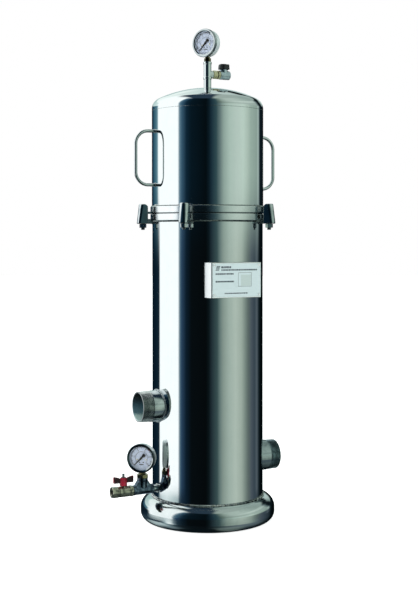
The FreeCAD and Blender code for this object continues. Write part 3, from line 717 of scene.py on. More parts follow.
def plastic(name, c0, c1, r0, r1, grain, scale, coat=0.0, edge=None):
    m = Mat(name)
    p = m.noise(60.0, 4.0, 0.6)
    g = m.noise(scale, 2.0, 0.5)
    geo = m.n("ShaderNodeNewGeometry")
    col = m.mix(m.rng(p, 0.35, 0.7, 0.0, 1.0, True), lin(c0), lin(c1))
    # painted highlight: convex edges lightened towards the edge colour by pointiness
    if edge:
        col = m.mix(m.rng(geo.outputs["Pointiness"], 0.53, 0.60, 0.0, 0.75), col, lin(edge))
    m.set(color=col, metallic=0.0, rough=m.rng(g, 0.3, 0.7, r0, r1), coat=coat)
    m.b.inputs["Coat Roughness"].default_value = 0.12
    m.bump(g, grain, 0.0001)
    m.bump(p, grain * 0.6, 0.0003)
    return m.m


M_RED = plastic("handle_red_enamel", "76061f", "a0082c", 0.26, 0.42, 0.3, 700.0, coat=0.1, edge="b8405a")
# near-black copy of the red enamel for the wing faces: painted shade
M_RED_WING = plastic("handle_red_wing_painted_shade_enamel", "1a0208", "340311", 0.34, 0.5, 0.3, 500.0, edge="6c1a32")
M_BLACK = plastic("knob_black_moulding", "0d0e10", "17191b", 0.3, 0.5, 0.45, 1400.0, coat=0.1, edge="34373a")
M_RUBBER = plastic("seal_black_rubber", "101112", "1b1c1d", 0.5, 0.75, 0.4, 1100.0)
M_SEAT = plastic("white_polymer", "dcdcd4", "c9c9c0", 0.35, 0.55, 0.25, 600.0)
M_INK = plastic("dial_ink", "07080a", "111317", 0.45, 0.6, 0.1, 900.0)
M_POINTER = plastic("pointer_black_enamel", "010102", "040405", 0.6, 0.8, 0.1, 900.0)


def media():
    """Melt-blown filter media: matted fibres."""
    m = Mat("melt_blown_media")
    a = m.noise(1.0, 5.0, 0.7, vec=m.scale((2600.0, 2600.0, 500.0)))
    b = m.noise(240.0, 4.0, 0.7)
    v = m.voronoi(1100.0)
    col = m.ramp(m.math("ADD", m.math("MULTIPLY", a, 0.6), m.math("MULTIPLY", b, 0.4)),
                 [(0.3, lin("b9b29c")), (0.5, lin("dcd7c6")), (0.75, lin("efece0"))])
    m.set(color=col, rough=0.92, sss=0.0)
    m.b.inputs["Sheen Weight"].default_value = 0.3
    m.bump(a, 0.7, 0.0004)
    m.bump(v, 0.4, 0.0003)
    return m.m


M_MEDIA = media()


def dial_white():
    m = Mat("dial_enamel")
    p = m.noise(220.0, 3.0, 0.5)
    g = m.noise(2200.0, 2.0, 0.5)
    col = m.mix(m.rng(p, 0.3, 0.7, 0.0, 1.0), lin("bcc5dc"), lin("ccd3e4"))
    m.set(color=col, rough=m.rng(g, 0.3, 0.7, 0.4, 0.55))
    m.bump(g, 0.08, 0.00005)
    return m.m


M_DIAL = dial_white()


def plate_metal():
    """Satin name plate: fine brushing across, faint scuffs."""
    m = Mat("name_plate_satin")
    br = m.noise(1.0, 3.0, 0.6, vec=m.scale((25.0, 25.0, 2600.0)))
    sc = m.noise(120.0, 5.0, 0.7, dist=1.2)
    col = m.mix(m.rng(br, 0.3, 0.7, 0.0, 1.0), lin("cad9db"), lin("bbcacd"))
    col = m.mix(m.rng(sc, 0.55, 0.75, 0.0, 0.3), col, lin("96a6ab"))
    m.set(color=col, metallic=0.15, rough=m.rng(br, 0.3, 0.7, 0.4, 0.55))
    m.bump(br, 0.2, 0.00005)
    return m.m


M_PLATE = plate_metal()


def engraved(name, c0, c1):
    m = Mat(name)
    p = m.noise(500.0, 3.0, 0.6)
    m.set(color=m.mix(m.rng(p, 0.3, 0.7, 0.0, 1.0), lin(c0), lin(c1)), rough=m.rng(p, 0.3, 0.7, 0.45, 0.65), metallic=0.2)
    m.bump(p, 0.2, 0.00005)
    return m.m


M_RULE = engraved("plate_filled_lines", "30393f", "56616a")
M_FIELD = engraved("plate_etched_field", "b2c2c0", "bccac8")


def glass():
    m = Mat("gauge_window_glass")
    p = m.noise(70.0, 4.0, 0.6)
    m.set(color=(0.97, 0.985, 0.98, 1), rough=m.rng(p, 0.3, 0.75, 0.0, 0.03), metallic=0.0, trans=1.0)
    m.b.inputs["IOR"].default_value = 1.18
    return m.m


M_GLASS = glass()

# ------------------------------------------------------------------ foot ring, shell and heads
SEG = 256


def bead(points, a, name, closed=True, pitch=2.4, seed=1, squash=1.0, amp=0.16, segs=10):
    """Rippled weld bead along a line."""
    r = random.Random(seed)
    P = [Vector(p) for p in points]
    n = len(P)
    wob = [r.uniform(-1, 1) for _ in range(n)]
    sm = [(wob[i - 2] + wob[i - 1] + wob[i] + wob[(i + 1) % n] + wob[(i + 2) % n]) / 5 for i in range(n)]
    length = sum((P[(i + 1) % n] - P[i]).length for i in range(n if closed else n - 1))
    step = length / n

    def rad(i, ang):
        ph = (i * step / pitch + 0.16 * math.cos(ang) ** 2) % 1.0
        return a * (1 + amp * (1 - 2 * ph) + 0.18 * sm[i])
    return sweep(P, rad, segs, closed, True, squash)


def circle_path(r, z, n, a0=0.0, a1=360.0):
    return [(r * math.cos(math.radians(a0 + (a1 - a0) * i / n)), r * math.sin(math.radians(a0 + (a1 - a0) * i / n)), z)
            for i in range(n)]


foot_prof = arc(114.0, 18.0, 18.0, -88, 0, 26) + [(132.0, 21.5)] + arc(109.0, 25.5, 23.0, 0, 88, 26)
foot_prof += [(109.02, 48.5), (109.02, 45.5)]
foot_prof += arc(109.0, 25.5, 20.0, 88, 0, 18) + arc(114.0, 18.0, 15.0, 0, -90, 14)
foot_prof += [(111.1, 3.0), (110.65, 2.8), (110.5, 2.3), (110.5, 0.6), (110.7, 0.12), (111.2, 0.0)]
s = Shape().add(lathe(foot_prof, SEG))
piece("foot_ring_rolled", s, M_FOOT, "housing", ["foot_ring"])


def dished(r, rk, t, edge, tan, apex, hole=0.0, nk=14, nc=26):
    """Profile of a dished head: outer skin from edge to apex, and back inside."""
    s = 1.0 if apex > tan else -1.0
    h = abs(apex - tan)
    lo, hi = r, 20000.0
    for _ in range(200):
        mid = (lo + hi) / 2
        if mid - math.sqrt((mid - rk) ** 2 - (r - rk) ** 2) - h > 0:
            lo = mid
        else:
            hi = mid
    rc = mid
    zc = apex - s * rc
    ang = math.atan2(s * (tan - zc), r - rk)
    out = [(r, edge)]
    out += [(r - rk + rk * math.cos(ang * i / nk), tan + s * rk * math.sin(ang * i / nk)) for i in range(nk + 1)]
    a1 = math.pi / 2 if hole <= 0 else math.acos(hole / rc)
    for i in range(1, nc + 1):
        a = ang + (a1 - ang) * i / nc
        out.append((rc * math.cos(a) if i < nc or hole > 0 else 0.0, zc + s * rc * math.sin(a)))
    ri = rc - t
    a2 = math.pi / 2 if hole <= 0 else math.acos(hole / ri)
    for i in range(nc + 1):
        a = a2 + (ang - a2) * i / nc
        out.append((ri * math.cos(a) if i > 0 or hole > 0 else 0.0, zc + s * ri * math.sin(a)))
    out += [(r - rk + (rk - t) * math.cos(ang * (nk - i) / nk), tan + s * (rk - t) * math.sin(ang * (nk - i) / nk))
            for i in range(1, nk + 1)]
    out.append((r - t, edge))
    return out


s = Shape().add(lathe(dished(109.0, 14.0, 2.0, 50.0, 40.0, 15.0), SEG))
piece("bottom_head_dish", s, M_FOOT, "housing", ["bottom_head"])

zs = [50.0 + (587.4 - 50.0) * i / 24 for i in range(25)]
shell = Shape().add(lathe([(109.0, z) for z in zs] + [(107.0, z) for z in reversed(zs)], SEG)).mesh("shell")
tools = []
for x0, x1, z, r in ((-130, -90, 229.2, 26.25), (90, 130, 114.6, 26.25), (-130, -90, 70.0, 4.5)):
    tools.append(Shape().add(lathe([(0, 0), (r, 0), (r, 40.0), (0, 40.0)], 128, False), aim((x0, 0, z), (1, 0, 0))).mesh("tool"))
shell = cut(shell, tools)


def round_normals(me):
    """Exact normals for the vessel's cylinder, so the holes don't disturb its polish."""
    me.shade_smooth()
    nrm = [None] * len(me.loops)
    for p in me.polygons:
        c = Vector((p.center.x, p.center.y, 0)).normalized()
        d = p.normal.dot(c)
        for li in p.loop_indices:
            v = me.vertices[me.loops[li].vertex_index].co
            if abs(d) > 0.97:
                q = Vector((v.x, v.y, 0)).normalized() * (1 if d > 0 else -1)
            else:
                q = p.normal
            nrm[li] = tuple(q)
    me.normals_split_custom_set(nrm)


round_normals(shell)
piece("lower_shell_wall", shell, M_BODY, "housing", ["lower_shell"], normals=True)

s = Shape()
s.add(bead(circle_path(109.7, 49.4, 1500), 1.9, "b", seed=3, squash=1.0, pitch=3.1, amp=0.3))
piece("foot_weld_bead", s, M_WELD, "housing", sharp=60)

# ------------------------------------------------------------------ closure bands
lb = rounded([(102.0, 587.4, 0.4), (112.8, 587.4, 1.1), (112.8, 600.5, 0.8), (108.4, 600.5, 0.2), (108.4, 597.9), (105.6, 597.9),
              (105.6, 600.5, 0.2), (102.0, 600.5, 0.4)], 5)


def closure_band(name, prof, body, node):
    """Closure band; the faces inside the closing gap carry a darker steel as painted shade."""
    me = Shape().add(lathe(prof, SEG)).mesh(name)
    for p in me.polygons:
        r = math.hypot(p.center.x, p.center.y) * 1000
        z = p.center.z * 1000
        # faces inside the closing gap take the darker steel as painted shade
        p.material_index = 1 if (598 < z < 602.8 and r < 112.1) else 0
    piece(name, me, [M_BAND, M_GROOVE], body, [node])


closure_band("lower_closure_band", lb, "housing", "lower_flange_ring")
piece("lower_band_weld_bead", Shape().add(bead(circle_path(109.6, 586.5, 1500), 1.5, "b", seed=5, pitch=2.7, amp=0.34)), M_WELD_DARK,
      "housing", sharp=60)
piece("closure_seal_cord", Shape().add(lathe(arc(107.0, 599.25, 1.3, 0, 340, 17), SEG)), M_RUBBER, "housing", ["closure_seal"])
ub = rounded([(102.0, 600.7, 0.4), (108.8, 600.7, 0.2), (108.8, 602.6), (112.8, 602.6, 0.6), (112.8, 615.2, 1.1),
              (110.2, 615.2), (102.0, 615.2, 0.4)], 5)
closure_band("cover_closure_band", ub, "cover", "cover_flange_ring")

# cover: cylinder, seam, dished head
zs = [615.2 + (803.5 - 615.2) * i / 10 for i in range(11)]
piece("cover_cylinder", Shape().add(lathe([(110.0, z) for z in zs] + [(108.0, z) for z in reversed(zs)], SEG)),
      M_BODY, "cover", ["cover_shell"])
piece("cover_dished_head", Shape().add(lathe(dished(110.0, 21.0, 2.0, 803.5, 808.0, 849.0, 5.0, 20, 34), SEG)),
      M_BODY, "cover", ["cover_head"])
s = Shape()
s.add(bead(circle_path(109.55, 803.5, 1400), 0.62, "b", seed=7, amp=0.1))
piece("cover_band_weld_bead", Shape().add(bead(circle_path(110.3, 615.7, 1500), 1.2, "b", seed=9, pitch=2.6, amp=0.24)), M_WELD_DARK,
      "cover", sharp=60)
s.add(bead(circle_path(7.5, 849.3, 60), 1.3, "b", seed=11, pitch=2.0))
piece("cover_weld_beads", s, M_WELD, "cover", sharp=60)

# ------------------------------------------------------------------ nozzles
PITCH = 2.309


def nozzle(z, thread_at, end, sx):
    TH = [i * 3.0 for i in range(120)]
    body_r = 109.0

    def saddle(R, r, back):
        return lambda th: math.sqrt(R * R - (r * math.sin(math.radians(th))) ** 2) - back
    st = [(saddle(107.0, 26.25, 0.0), 26.25), (end - 30, 26.25), (end - 1.2, 26.25), (end - 0.3, 26.9), (end, 27.2), (end, 28.9),
          (end - 0.2, 29.1)]
    t = end - 0.35
    step = PITCH / 12
    while t > thread_at + 0.2:
        taper = 29.8 - (t - thread_at) / 32.0
        root = taper - 1.42
        fade = 1.0
        if t < thread_at + 3.0:
            fade = 1.0
            root = root + (1.42 - 0.15) * max(0.0, (thread_at + 3.0 - t) / 3.0)
        cap = 29.2 + (end - t) * 0.93
        f = threadr(taper, root, PITCH, t)
        st.append((t, (lambda ff, cc: (lambda th: min(ff(th), cc)))(f, cap)))
        t -= step
    st += [(thread_at + 0.1, 29.78), (thread_at - 0.2, 30.0), (thread_at - 0.5, 30.15), (thread_at - 4, 30.15)]
    st.append((saddle(body_r, 30.15, 1.0), 30.15))
    # local Z runs outward, local X is across, local Y up the vessel
    T = Matrix(((0, 0, sx, 0), (0, sx, 0, 0), (-1, 0, 0, z), (0, 0, 0, 1)))
    return polar(st, TH), T


def on_pipe(z, sx, r, th, R=109.0, lift=0.0):
    y = r * math.sin(math.radians(th))
    return (sx * (math.sqrt(R * R - y * y) + lift), y, z + r * math.cos(math.radians(th)))


for name, zz, ta, en, sx, node in (("inlet_threaded_pipe", 229.2, 127.0, 149.5, -1, "inlet_nozzle"),
                                   ("outlet_threaded_pipe", 114.6, 129.0, 150.8, 1, "outlet_nozzle")):
    part, T = nozzle(zz, ta, en, sx)
    me = Shape().add(part, T).mesh(name)
    for p in me.polygons:      # neck, thread and bore are finished differently
        c = p.center * 1000
        rr = math.hypot(c.y, c.z - zz)
        p.material_index = 2 if rr < 26.6 else (3 if sx * c.x > en - 0.25 else (1 if sx * c.x > ta - 0.3 else 0))
    # the outlet takes the darker steel copies as painted shade
    piece(name, me, [M_NOZ if sx < 0 else M_NOZ_OUT, M_THREAD if sx < 0 else M_THREAD_OUT, M_BORE_IN if sx < 0 else M_BORE_OUT, M_RIM], "housing", [node], sharp=50)
    pts = [on_pipe(zz, sx, 30.7, 360.0 * i / 420, lift=0.25) for i in range(420)]
    piece(name + "_weld", Shape().add(bead(pts, 1.5, "b", seed=13 + int(zz), pitch=2.6, amp=0.2)), M_WELD_BRIGHT, "housing", sharp=60)

# ------------------------------------------------------------------ carrying handles
s, sw = Shape(), Shape()
for psi, z0 in ((-93.7, 656.6), (91.0, 652.7)):
    T = spin(psi)
    z1 = z0 + 104.4
    quarter = [math.radians(4.5 * i) for i in range(21)]
    pts = [(0, -109.2, z0), (0, -114, z0), (0, -120, z0)]
    pts += [(0, -125 - 25 * math.sin(a), z0 + 25 - 25 * math.cos(a)) for a in quarter]
    pts += [(0, -150, z0 + 34), (0, -150, z0 + 52.2), (0, -150, z1 - 34)]
    pts += [(0, -125 - 25 * math.cos(a), z1 - 25 + 25 * math.sin(a)) for a in quarter]
    pts += [(0, -120, z1), (0, -114, z1), (0, -109.2, z1)]
    s.add(sweep(pts, 3.2, 32, up=(1, 0, 0)), T)
    for zz in (z0, z1):
        ring = [(3.4 * math.sin(a), -math.sqrt(110.0 ** 2 - (3.4 * math.sin(a)) ** 2) - 0.1, zz + 3.4 * math.cos(a))
                for a in [PI2 * i / 60 for i in range(60)]]
        sw.add(bead(ring, 0.9, "b", seed=int(zz + psi), pitch=1.8), T)
piece("cover_carrying_handles", s, M_ROD, "cover", ["cover_handles"], sharp=60)
piece("handle_weld_beads", sw, M_WELD, "cover", sharp=60)

# ------------------------------------------------------------------ closure clamps
PSI = (-106.5, -46.5, 41.5, 112.5, -176.5)
RZ = Matrix(((0, 0, 1, 0), (-1, 0, 0, 0), (0, 1, 0, 0), (0, 0, 0, 1)))   # (radius, z) profile in XY, thickness along X


def claw_plan(w, h, r_in, r_out, e, c):
    """Plan of a claw at one height, (across, radius): straight cheeks, back rounded as a superellipse of exponent e."""
    c = min(c, w * 0.4)
    out = [(-w + c - c * math.sin(math.radians(a)), r_in + c - c * math.cos(math.radians(a))) for a in (0, 30, 60, 90)]
    n = 36
    for i in range(n + 1):
        th = math.radians(-90 + 180.0 * i / n)
        sn, cs = math.sin(th), max(0.0, math.cos(th))
        out.append((math.copysign(w * abs(sn) ** (2 / e), sn), r_out - h + h * cs ** (2 / e)))
    out += [(w - c + c * math.sin(math.radians(a)), r_in + c - c * math.cos(math.radians(a))) for a in (90, 60, 30, 0)]
    return out


def claw_body(w, inset, z_list, r_in_of, shrink):
    v, f, rings = [], [], []
    for z, d in z_list:
        k = max(0.0, min(1.0, (z - 583.6) / 34.0))
        r_out = 140.2 - k * 3.7 - shrink
        e = 2.9 - 0.85 * k
        plan = claw_plan(w - d, w - 0.4, r_in_of(z) + d, r_out - d, e, inset)
        rings.append(list(range(len(v), len(v) + len(plan))))
        v += [(x, -r, z) for x, r in plan]
    m = len(rings[0])
    for A, B in zip(rings, rings[1:]):
        for i in range(m):
            j = (i + 1) % m
            f.append((A[i], A[j], B[j], B[i]))
    f.append(tuple(reversed(rings[0])))
    f.append(tuple(rings[-1]))
    return v, f


levels = [(581.4, 1.5), (581.5, 0.95), (581.8, 0.45), (582.3, 0.12), (583.0, 0.0)] + [(583.6 + 3.2 * i, 0.0) for i in range(11)]
levels += [(617.4, 0.0), (618.4, 0.18), (619.2, 0.6), (619.75, 1.2), (620.0, 2.0)]
outside = claw_body(8.7, 1.1, levels, lambda z: 119.4 + max(0.0, z - 615.6) * 0.95, 0.0)
inside = claw_body(6.6, 0.4, [(560.0, 0.0)] + [(582.0 + 3.0 * i, 0.0) for i in range(5)] + [(596.6, 0.0), (597.5, 0.4), (598.0, 1.2)],
                   lambda z: 100.0, 2.2)
tab = extrude(rounded([(-6.2, -121.5), (6.2, -121.5), (6.2, -109.2, 0.4), (-6.2, -109.2, 0.4)], 3), 600.95, 605.2, 0.4)
claw = cut(cut(Shape().add(outside).mesh("claw"), [Shape().add(inside).mesh("pocket")]), [Shape().add(tab).mesh("tab")], "UNION")
claws = joined([turned_copy(claw, spin(p)) for p in PSI], "claws")
for p in claws.polygons:      # blasted inner side, its near-white colour painted light lifting the shade, polished outside
    c, q = p.center * 1000, p.normal
    r = math.hypot(c.x, c.y)
    p.material_index = 1 if q.x * c.x + q.y * c.y < -0.85 * r and r < 121.0 else 0
piece("clamp_claw_castings", claws, [M_CLAW, M_INSIDE], "cover", ["clamp_claws"], sharp=40)

studs, lugs, collars = Shape(), Shape(), Shape()
TH48 = [i * 10.0 for i in range(36)]
for p in PSI:
    T = spin(p) @ move(0, -128.5, 0)
    st = [(569.5, 0.0), (569.5, 3.0), (569.7, 3.2)]
    z = 570.0
    while z < 618.3:
        f = threadr(3.98, 3.35, 1.25, z)
        cap = min(3.2 + (z - 569.7) * 1.0, 3.2 + (618.5 - z) * 1.0)
        st.append((z, (lambda ff, cc: (lambda th: min(ff(th), cc)))(f, cap)))
        z += 1.25 / 6
    st += [(618.6, 3.2), (618.6, 0.0)]
    studs.add(polar(st, TH48, False), T)
    # lug: rounded tongue under the band, washer pressed on the swaged collar
    prof = [(-6.3, -104.0 + 128.5)] + [(-6.3, 0.0)] + [(6.3 * math.cos(math.radians(a)), 6.3 * math.sin(math.radians(a)))
                                                       for a in range(190, 360, 10)] + [(6.3, 0.0), (6.3, 24.5)]
    lugs.add(extrude(prof, 581.4, 591.0, 0.5), T)
piece("clamp_stud_screws", studs, M_STUD, "cover", ["clamp_studs"], sharp=60)
lug_me = lugs.mesh("lugs")
tools = [Shape().add(lathe([(0, 570), (5.27, 570), (5.27, 600), (0, 600)], 48, False), spin(p) @ move(0, -128.5, 0)).mesh("t") for p in PSI]
lug_me = cut(lug_me, tools)
piece("clamp_lug_tongues", lug_me, M_LUG, "housing", ["clamp_lugs"])
sw = Shape()
for p in PSI:
    a0 = 6.3
    pts = [(-a0 + 2 * a0 * i / 24, -109.35, 581.3) for i in range(25)]
    sw.add(bead(pts, 0.9, "b", closed=False, seed=int(p), pitch=1.8), spin(p))
piece("lug_weld_beads", sw, M_WELD, "housing", sharp=60)
for i, p in enumerate(PSI):
    T = spin(p) @ move(0, -128.5, 0)
    st = [(573.6, 4.35), (573.6, 4.9)]
    st += hex_outer(13.0, 573.6, 581.1, 0.0)
    st += [(581.12, 5.2), (591.3, 5.2), (591.45, 5.9), (591.7, 6.1), (592.5, 6.1), (592.9, 5.7), (592.9, 4.6), (592.6, 4.35)]
    piece("clamp_nut_%d_hex" % (i + 1), Shape().add(polar(st, hex_thetas()), T), M_NUT, "nut_%d" % (i + 1),
          ["clamp_nut_%d" % (i + 1)], sharp=38)

# ------------------------------------------------------------------ name plate
out = rounded([(-53.4, -95.4), (-53.4, -123.0, 2.6), (53.4, -123.0, 2.6), (53.4, -95.4)], 8, False)
inn = rounded([(51.9, -96.2), (51.9, -121.5, 1.1), (-51.9, -121.5, 1.1), (-51.9, -96.2)], 6, False)
br = Shape().add(extrude(out + inn, 441.5, 507.5, 0.3)).mesh("bracket")
for p in br.polygons:      # satin side legs, polished bends
    p.material_index = 0 if abs(p.normal.x) > 0.985 or abs(p.normal.y) > 0.985 else 1
piece("plate_bracket_sheet", br, [M_SHEET, M_ROD], "housing", ["name_plate_bracket"])
sw = Shape()
for sx in (-1, 1):
    pts = [(sx * 53.3, -95.5, 442.5 + 64.0 * i / 90) for i in range(91)]
    sw.add(bead(pts, 0.9, "b", closed=False, seed=31 + sx, pitch=2.2))
piece("bracket_weld_beads", sw, M_WELD, "housing", sharp=60)
XZ = Matrix(((1, 0, 0, 0), (0, 0, 1, 0), (0, 1, 0, 0), (0, 0, 0, 1)))   # profile (x, z), thickness along Y
pl = rounded([(-51.0, 443.0, 1.2), (51.0, 443.0, 1.2), (51.0, 506.0, 1.2), (-51.0, 506.0, 1.2)], 6)
piece("name_plate_blank", Shape().add(extrude(pl, -123.8, -123.02, 0.18), XZ), M_PLATE, "housing", ["name_plate"])
s = Shape()


def rule(x0, x1, z0, z1):
    s.add(extrude([(x0, z0), (x1, z0), (x1, z1), (x0, z1)], -123.83, -123.7), XZ)


dash = random.Random(77)
for x0, x1, z0, z1 in ((-33.0, -12.0, 497.2, 500.8), (-33.0, 43.0, 492.4, 495.2),
                       (-45.0, -6.0, 485.0, 487.8), (-45.0, -6.0, 470.6, 473.6), (-26.0, 24.0, 448.8, 451.0)):
    x = x0
    while x < x1 - 1.0:      # rows of plain short bars
        w = min(dash.uniform(1.8, 4.6), x1 - x)
        rule(x, x + w, z0, z1)
        x += w + dash.uniform(0.45, 0.8)
for i in range(4):           # block of plain bars at the head of the rows
    rule(-45.0 + 0.8 * i, -37.6 + 0.8 * i, 493.0 + 2.3 * i, 494.5 + 2.3 * i)
for z in (462.6, 488.4):
    rule(3.0, 31.0, z - 0.3, z + 0.3)
for x in (3.0, 31.0):
    rule(x - 0.3, x + 0.3, 462.6, 488.4)
piece("name_plate_ruling", s, M_RULE, "housing")
s = Shape()
s.add(extrude([(8.5, 463.6), (30.0, 463.6), (30.0, 484.5), (8.5, 484.5)], -123.82, -123.7), XZ)
piece("name_plate_field", s, M_FIELD, "housing")
s = Shape()
for sx in (-1, 1):
    for z in (446.5, 502.5):
        s.add(lathe([(0, 3.3), (1.2, 3.3), (1.2, 0.0), (2.2, 0.0), (2.16, -0.25), (1.8, -0.5), (1.1, -0.66), (0, -0.7)], 28, False),
              aim((sx * 47.5, -123.8, z), (0, 1, 0)))
        s.add(lathe([(0, 0), (1.9, 0), (1.8, 0.4), (1.2, 0.6), (0, 0.6)], 24, False), aim((sx * 47.5, -121.5, z), (0, 1, 0)))
piece("name_plate_rivet_heads", s, M_SHEET, "housing", ["name_plate_rivets"], sharp=50)


# ------------------------------------------------------------------ gauges
def text_part(body, size, x, z, y, T):
    c = bpy.data.curves.new("numeral", "FONT")
    c.body = body
    c.size = size * MM
    c.extrude = 0.02 * MM
    c.align_x = "CENTER"
    c.align_y = "CENTER"
    c.resolution_u = 3
    o = bpy.data.objects.new("numeral", c)
    bpy.context.scene.collection.objects.link(o)
    me = baked(o)
    S = Matrix.Scale(MM, 4)
    me.transform(S @ T @ move(x, y, z) @ Matrix.Rotation(math.radians(90), 4, "X") @ S.inverted())
    return me


def gauge(key, psi, at, hex_z0, hex_z1, af, spig_r, spig_z0, body, needle, stem_mat):
    T = move(*at) @ spin(psi)
    Y = T @ aim((0, 0, 0), (0, 1, 0))
    case = [(26.5, -10.5), (26.5, -6.9), (26.5, 4.0)] + arc(23.5, 4.0, 3.0, 0, 90, 8)
    case += [(14.0, 7.0), (13.6, 6.85), (13.2, 6.85), (12.8, 7.0), (5.0, 7.0), (4.6, 6.8), (0.0, 6.8), (0.0, 5.8), (23.5, 5.8)]
    case += arc(23.5, 4.0, 1.8, 90, 0, 5) + [(25.3, -10.5)]
    shell = Shape().add(lathe(case, 128, False), Y).mesh("shell")
    back = T.to_3x3() @ Vector((0, 1, 0))
    for p in shell.polygons:      # the flat back takes a darker steel than the case as painted shade
        p.material_index = 1 if p.normal.dot(back) > 0.6 else 0
    piece(key + "_gauge_body", shell, [M_CASE, M_BACK], body, [key + "_gauge_case"], sharp=40)
    bez = rounded([(26.5, -6.8), (27.4, -6.8, 0.3), (28.0, -8.0, 0.5), (28.0, -12.0, 0.6), (27.6, -13.1, 0.8), (26.6, -13.4, 0.6),
                   (24.6, -13.4, 0.5), (22.6, -12.4, 0.2), (22.6, -12.02), (26.5, -12.02)], 4)
    piece(key + "_gauge_rim", Shape().add(lathe(bez, 128), Y), M_GAUGE, body, [key + "_gauge_bezel"], sharp=40)
    win = rounded([(0.0, -10.5), (26.4, -10.5, 0.2), (26.4, -12.0, 0.2), (0.0, -12.0)], 3, False)
    piece(key + "_gauge_glass", Shape().add(lathe(win, 96, False), Y), M_GLASS, body, [key + "_gauge_window"])
    dial = [(1.6, -5.4), (25.2, -5.4), (25.3, -5.9), (25.2, -6.0), (1.7, -6.0), (1.6, -5.9)]
    piece(key + "_gauge_face", Shape().add(lathe(dial, 96), Y), M_DIAL, body, [key + "_gauge_dial"])
    # scale: clockwise from lower left, three quarters of a turn
    ink = Shape()

    def mark(a, r0, r1, w):
        c, sn = math.cos(math.radians(a)), math.sin(math.radians(a))
        q = [(r0, -w), (r1, -w), (r1, w), (r0, w)]
        ink.add(extrude([(x * c - y * sn, x * sn + y * c) for x, y in q], -6.06, -5.98), XZ_in(T))

    def XZ_in(Tm):
        return Tm @ XZ
    for i in range(51):
        a = 225.0 - 5.4 * i
        if i % 10 == 0:
            mark(a, 17.6, 21.3, 0.6)
        elif i % 5 == 0:
            mark(a, 18.6, 21.3, 0.45)
        else:
            mark(a, 19.6, 21.3, 0.3)
    n = 100
    for rr, w in ((21.4, 0.4), (12.2, 0.3)):
        ao, ai = [], []
        for i in range(n + 1):
            a = math.radians(225.0 - 270.0 * i / n)
            ao.append(((rr + w) * math.cos(a), (rr + w) * math.sin(a)))
            ai.append(((rr - w) * math.cos(a), (rr - w) * math.sin(a)))
        ink.add(extrude(ao + ai[::-1], -6.06, -5.98), XZ_in(T))
    parts = [ink.mesh("ink")]
    for i in range(6):
        a = math.radians(225.0 - 54.0 * i)
        parts.append(text_part(str(2 * i), 4.8, 15.1 * math.cos(a), 15.1 * math.sin(a), -6.03, T))
    spots = Shape()
    for q in (-3.9, 3.5):
        spots.add(lathe([(0, -5.98), (1.25, -5.98), (1.25, -6.05), (0, -6.06)], 24, False), T @ aim((q, 0, -8.6), (0, 1, 0)))
    spots.add(extrude([(-4.4, -13.4), (4.0, -13.4), (4.0, -11.6), (-4.4, -11.6)], -6.06, -5.98), XZ_in(T))
    parts.append(spots.mesh("spots"))
    me = joined(parts, key + "_scale")
    piece(key + "_gauge_scale", me, M_INK, body, weighted=False)
    # dial screws
    sc = Shape()
    for sx in (-1, 1):
        sc.add(lathe([(0, 0), (1.3, 0), (1.25, -0.35), (0.9, -0.6), (0, -0.65)], 20, False), T @ aim((sx * 9.0, -6.0, -3.0), (0, 1, 0)))
    piece(key + "_gauge_dial_screws", sc, M_NICKEL, body, sharp=50)
    # stem, block, shaft and curved tube
    st = Shape()
    prof = [(spig_z0, 0.0), (spig_z0, 1.8), (spig_z0, spig_r - 0.5), (spig_z0 + 0.5, spig_r), (hex_z0 - 0.01, spig_r)]
    st.add(polar(prof + hex_outer(af, hex_z0, hex_z1, 30.0) + [(hex_z1, 4.9), (hex_z1 + 0.3, 4.6), (-22.0, 4.6), (-22.0, 0.0)],
                 hex_thetas(30.0), False), T)
    bl = rounded([(-6, -2.5, 0.5), (6, -2.5, 0.5), (6, 5.0, 0.5), (-6, 5.0, 0.5)], 3)
    st.add(extrude(bl, -23.5, -16.0, 0.3), T)
    bl = rounded([(-4, -1.0, 0.5), (4, -1.0, 0.5), (4, 4.5, 0.5), (-4, 4.5, 0.5)], 3)
    st.add(extrude(bl, -16.5, 4.0, 0.3), T)
    st.add(lathe([(0, -9.3), (0.8, -9.3), (1.0, -9.1), (1.0, 2.7), (0, 2.7)], 24, False), Y)
    pts = [(17.0 * math.cos(math.radians(a)), 1.8, 17.0 * math.sin(math.radians(a))) for a in range(270, 19, -6)]
    st.add(sweep(pts, 2.2, 14), T)
    piece(key + "_gauge_stem_block", st, stem_mat, body, [key + "_gauge_stem"], sharp=38)
    # pointer
    u = Vector((-math.sqrt(0.5), -math.sqrt(0.5)))
    nn = Vector((u.y, -u.x))

    def P(a, b):
        q = u * a + nn * b
        return (q.x, q.y)
    pt = Shape()
    pt.add(extrude([P(-6.0, 1.8), P(3, 1.6), P(19.0, 0.6), P(19.0, -0.6), P(3, -1.6), P(-6.0, -1.8)], -8.2, -7.5, 0.12), T @ XZ)
    cx, cz = P(-7.0, 0)
    pt.add(lathe([(0, -7.5), (3.4, -7.5), (3.5, -7.6), (3.5, -8.1), (3.4, -8.2), (0, -8.2)], 36, False), T @ aim((cx, 0, cz), (0, 1, 0)))
    pt.add(lathe([(1.05, -7.5), (2.1, -7.5), (2.2, -7.6), (2.2, -8.75), (1.9, -9.0), (1.05, -9.0)], 32), Y)
    piece(key + "_gauge_needle", pt, M_POINTER, needle, [key + "_gauge_pointer"])


gauge("lower", -40.5, (-139.8, 0, 131.8), -31.8, -27.6, 11.5, 4.8, -45.8, "housing", "lower_needle", M_BRASS_DARK)
gauge("top", -61.5, (0, 0, 938.0), -36.0, -29.0, 12.0, 4.5, -46.0, "cover", "top_needle", M_BRASS_DARK)

# ------------------------------------------------------------------ drain branch
DZ = 70.0
XN = aim((0, 0, DZ), (-1, 0, 0))          # local Z outward along -X


def tube(r, x0, x1, ri=4.5, ch=0.4, segs=64):
    return lathe([(ri, x0), (r - ch, x0), (r, x0 + ch), (r, x1 - ch), (r - ch, x1), (ri, x1)], segs)


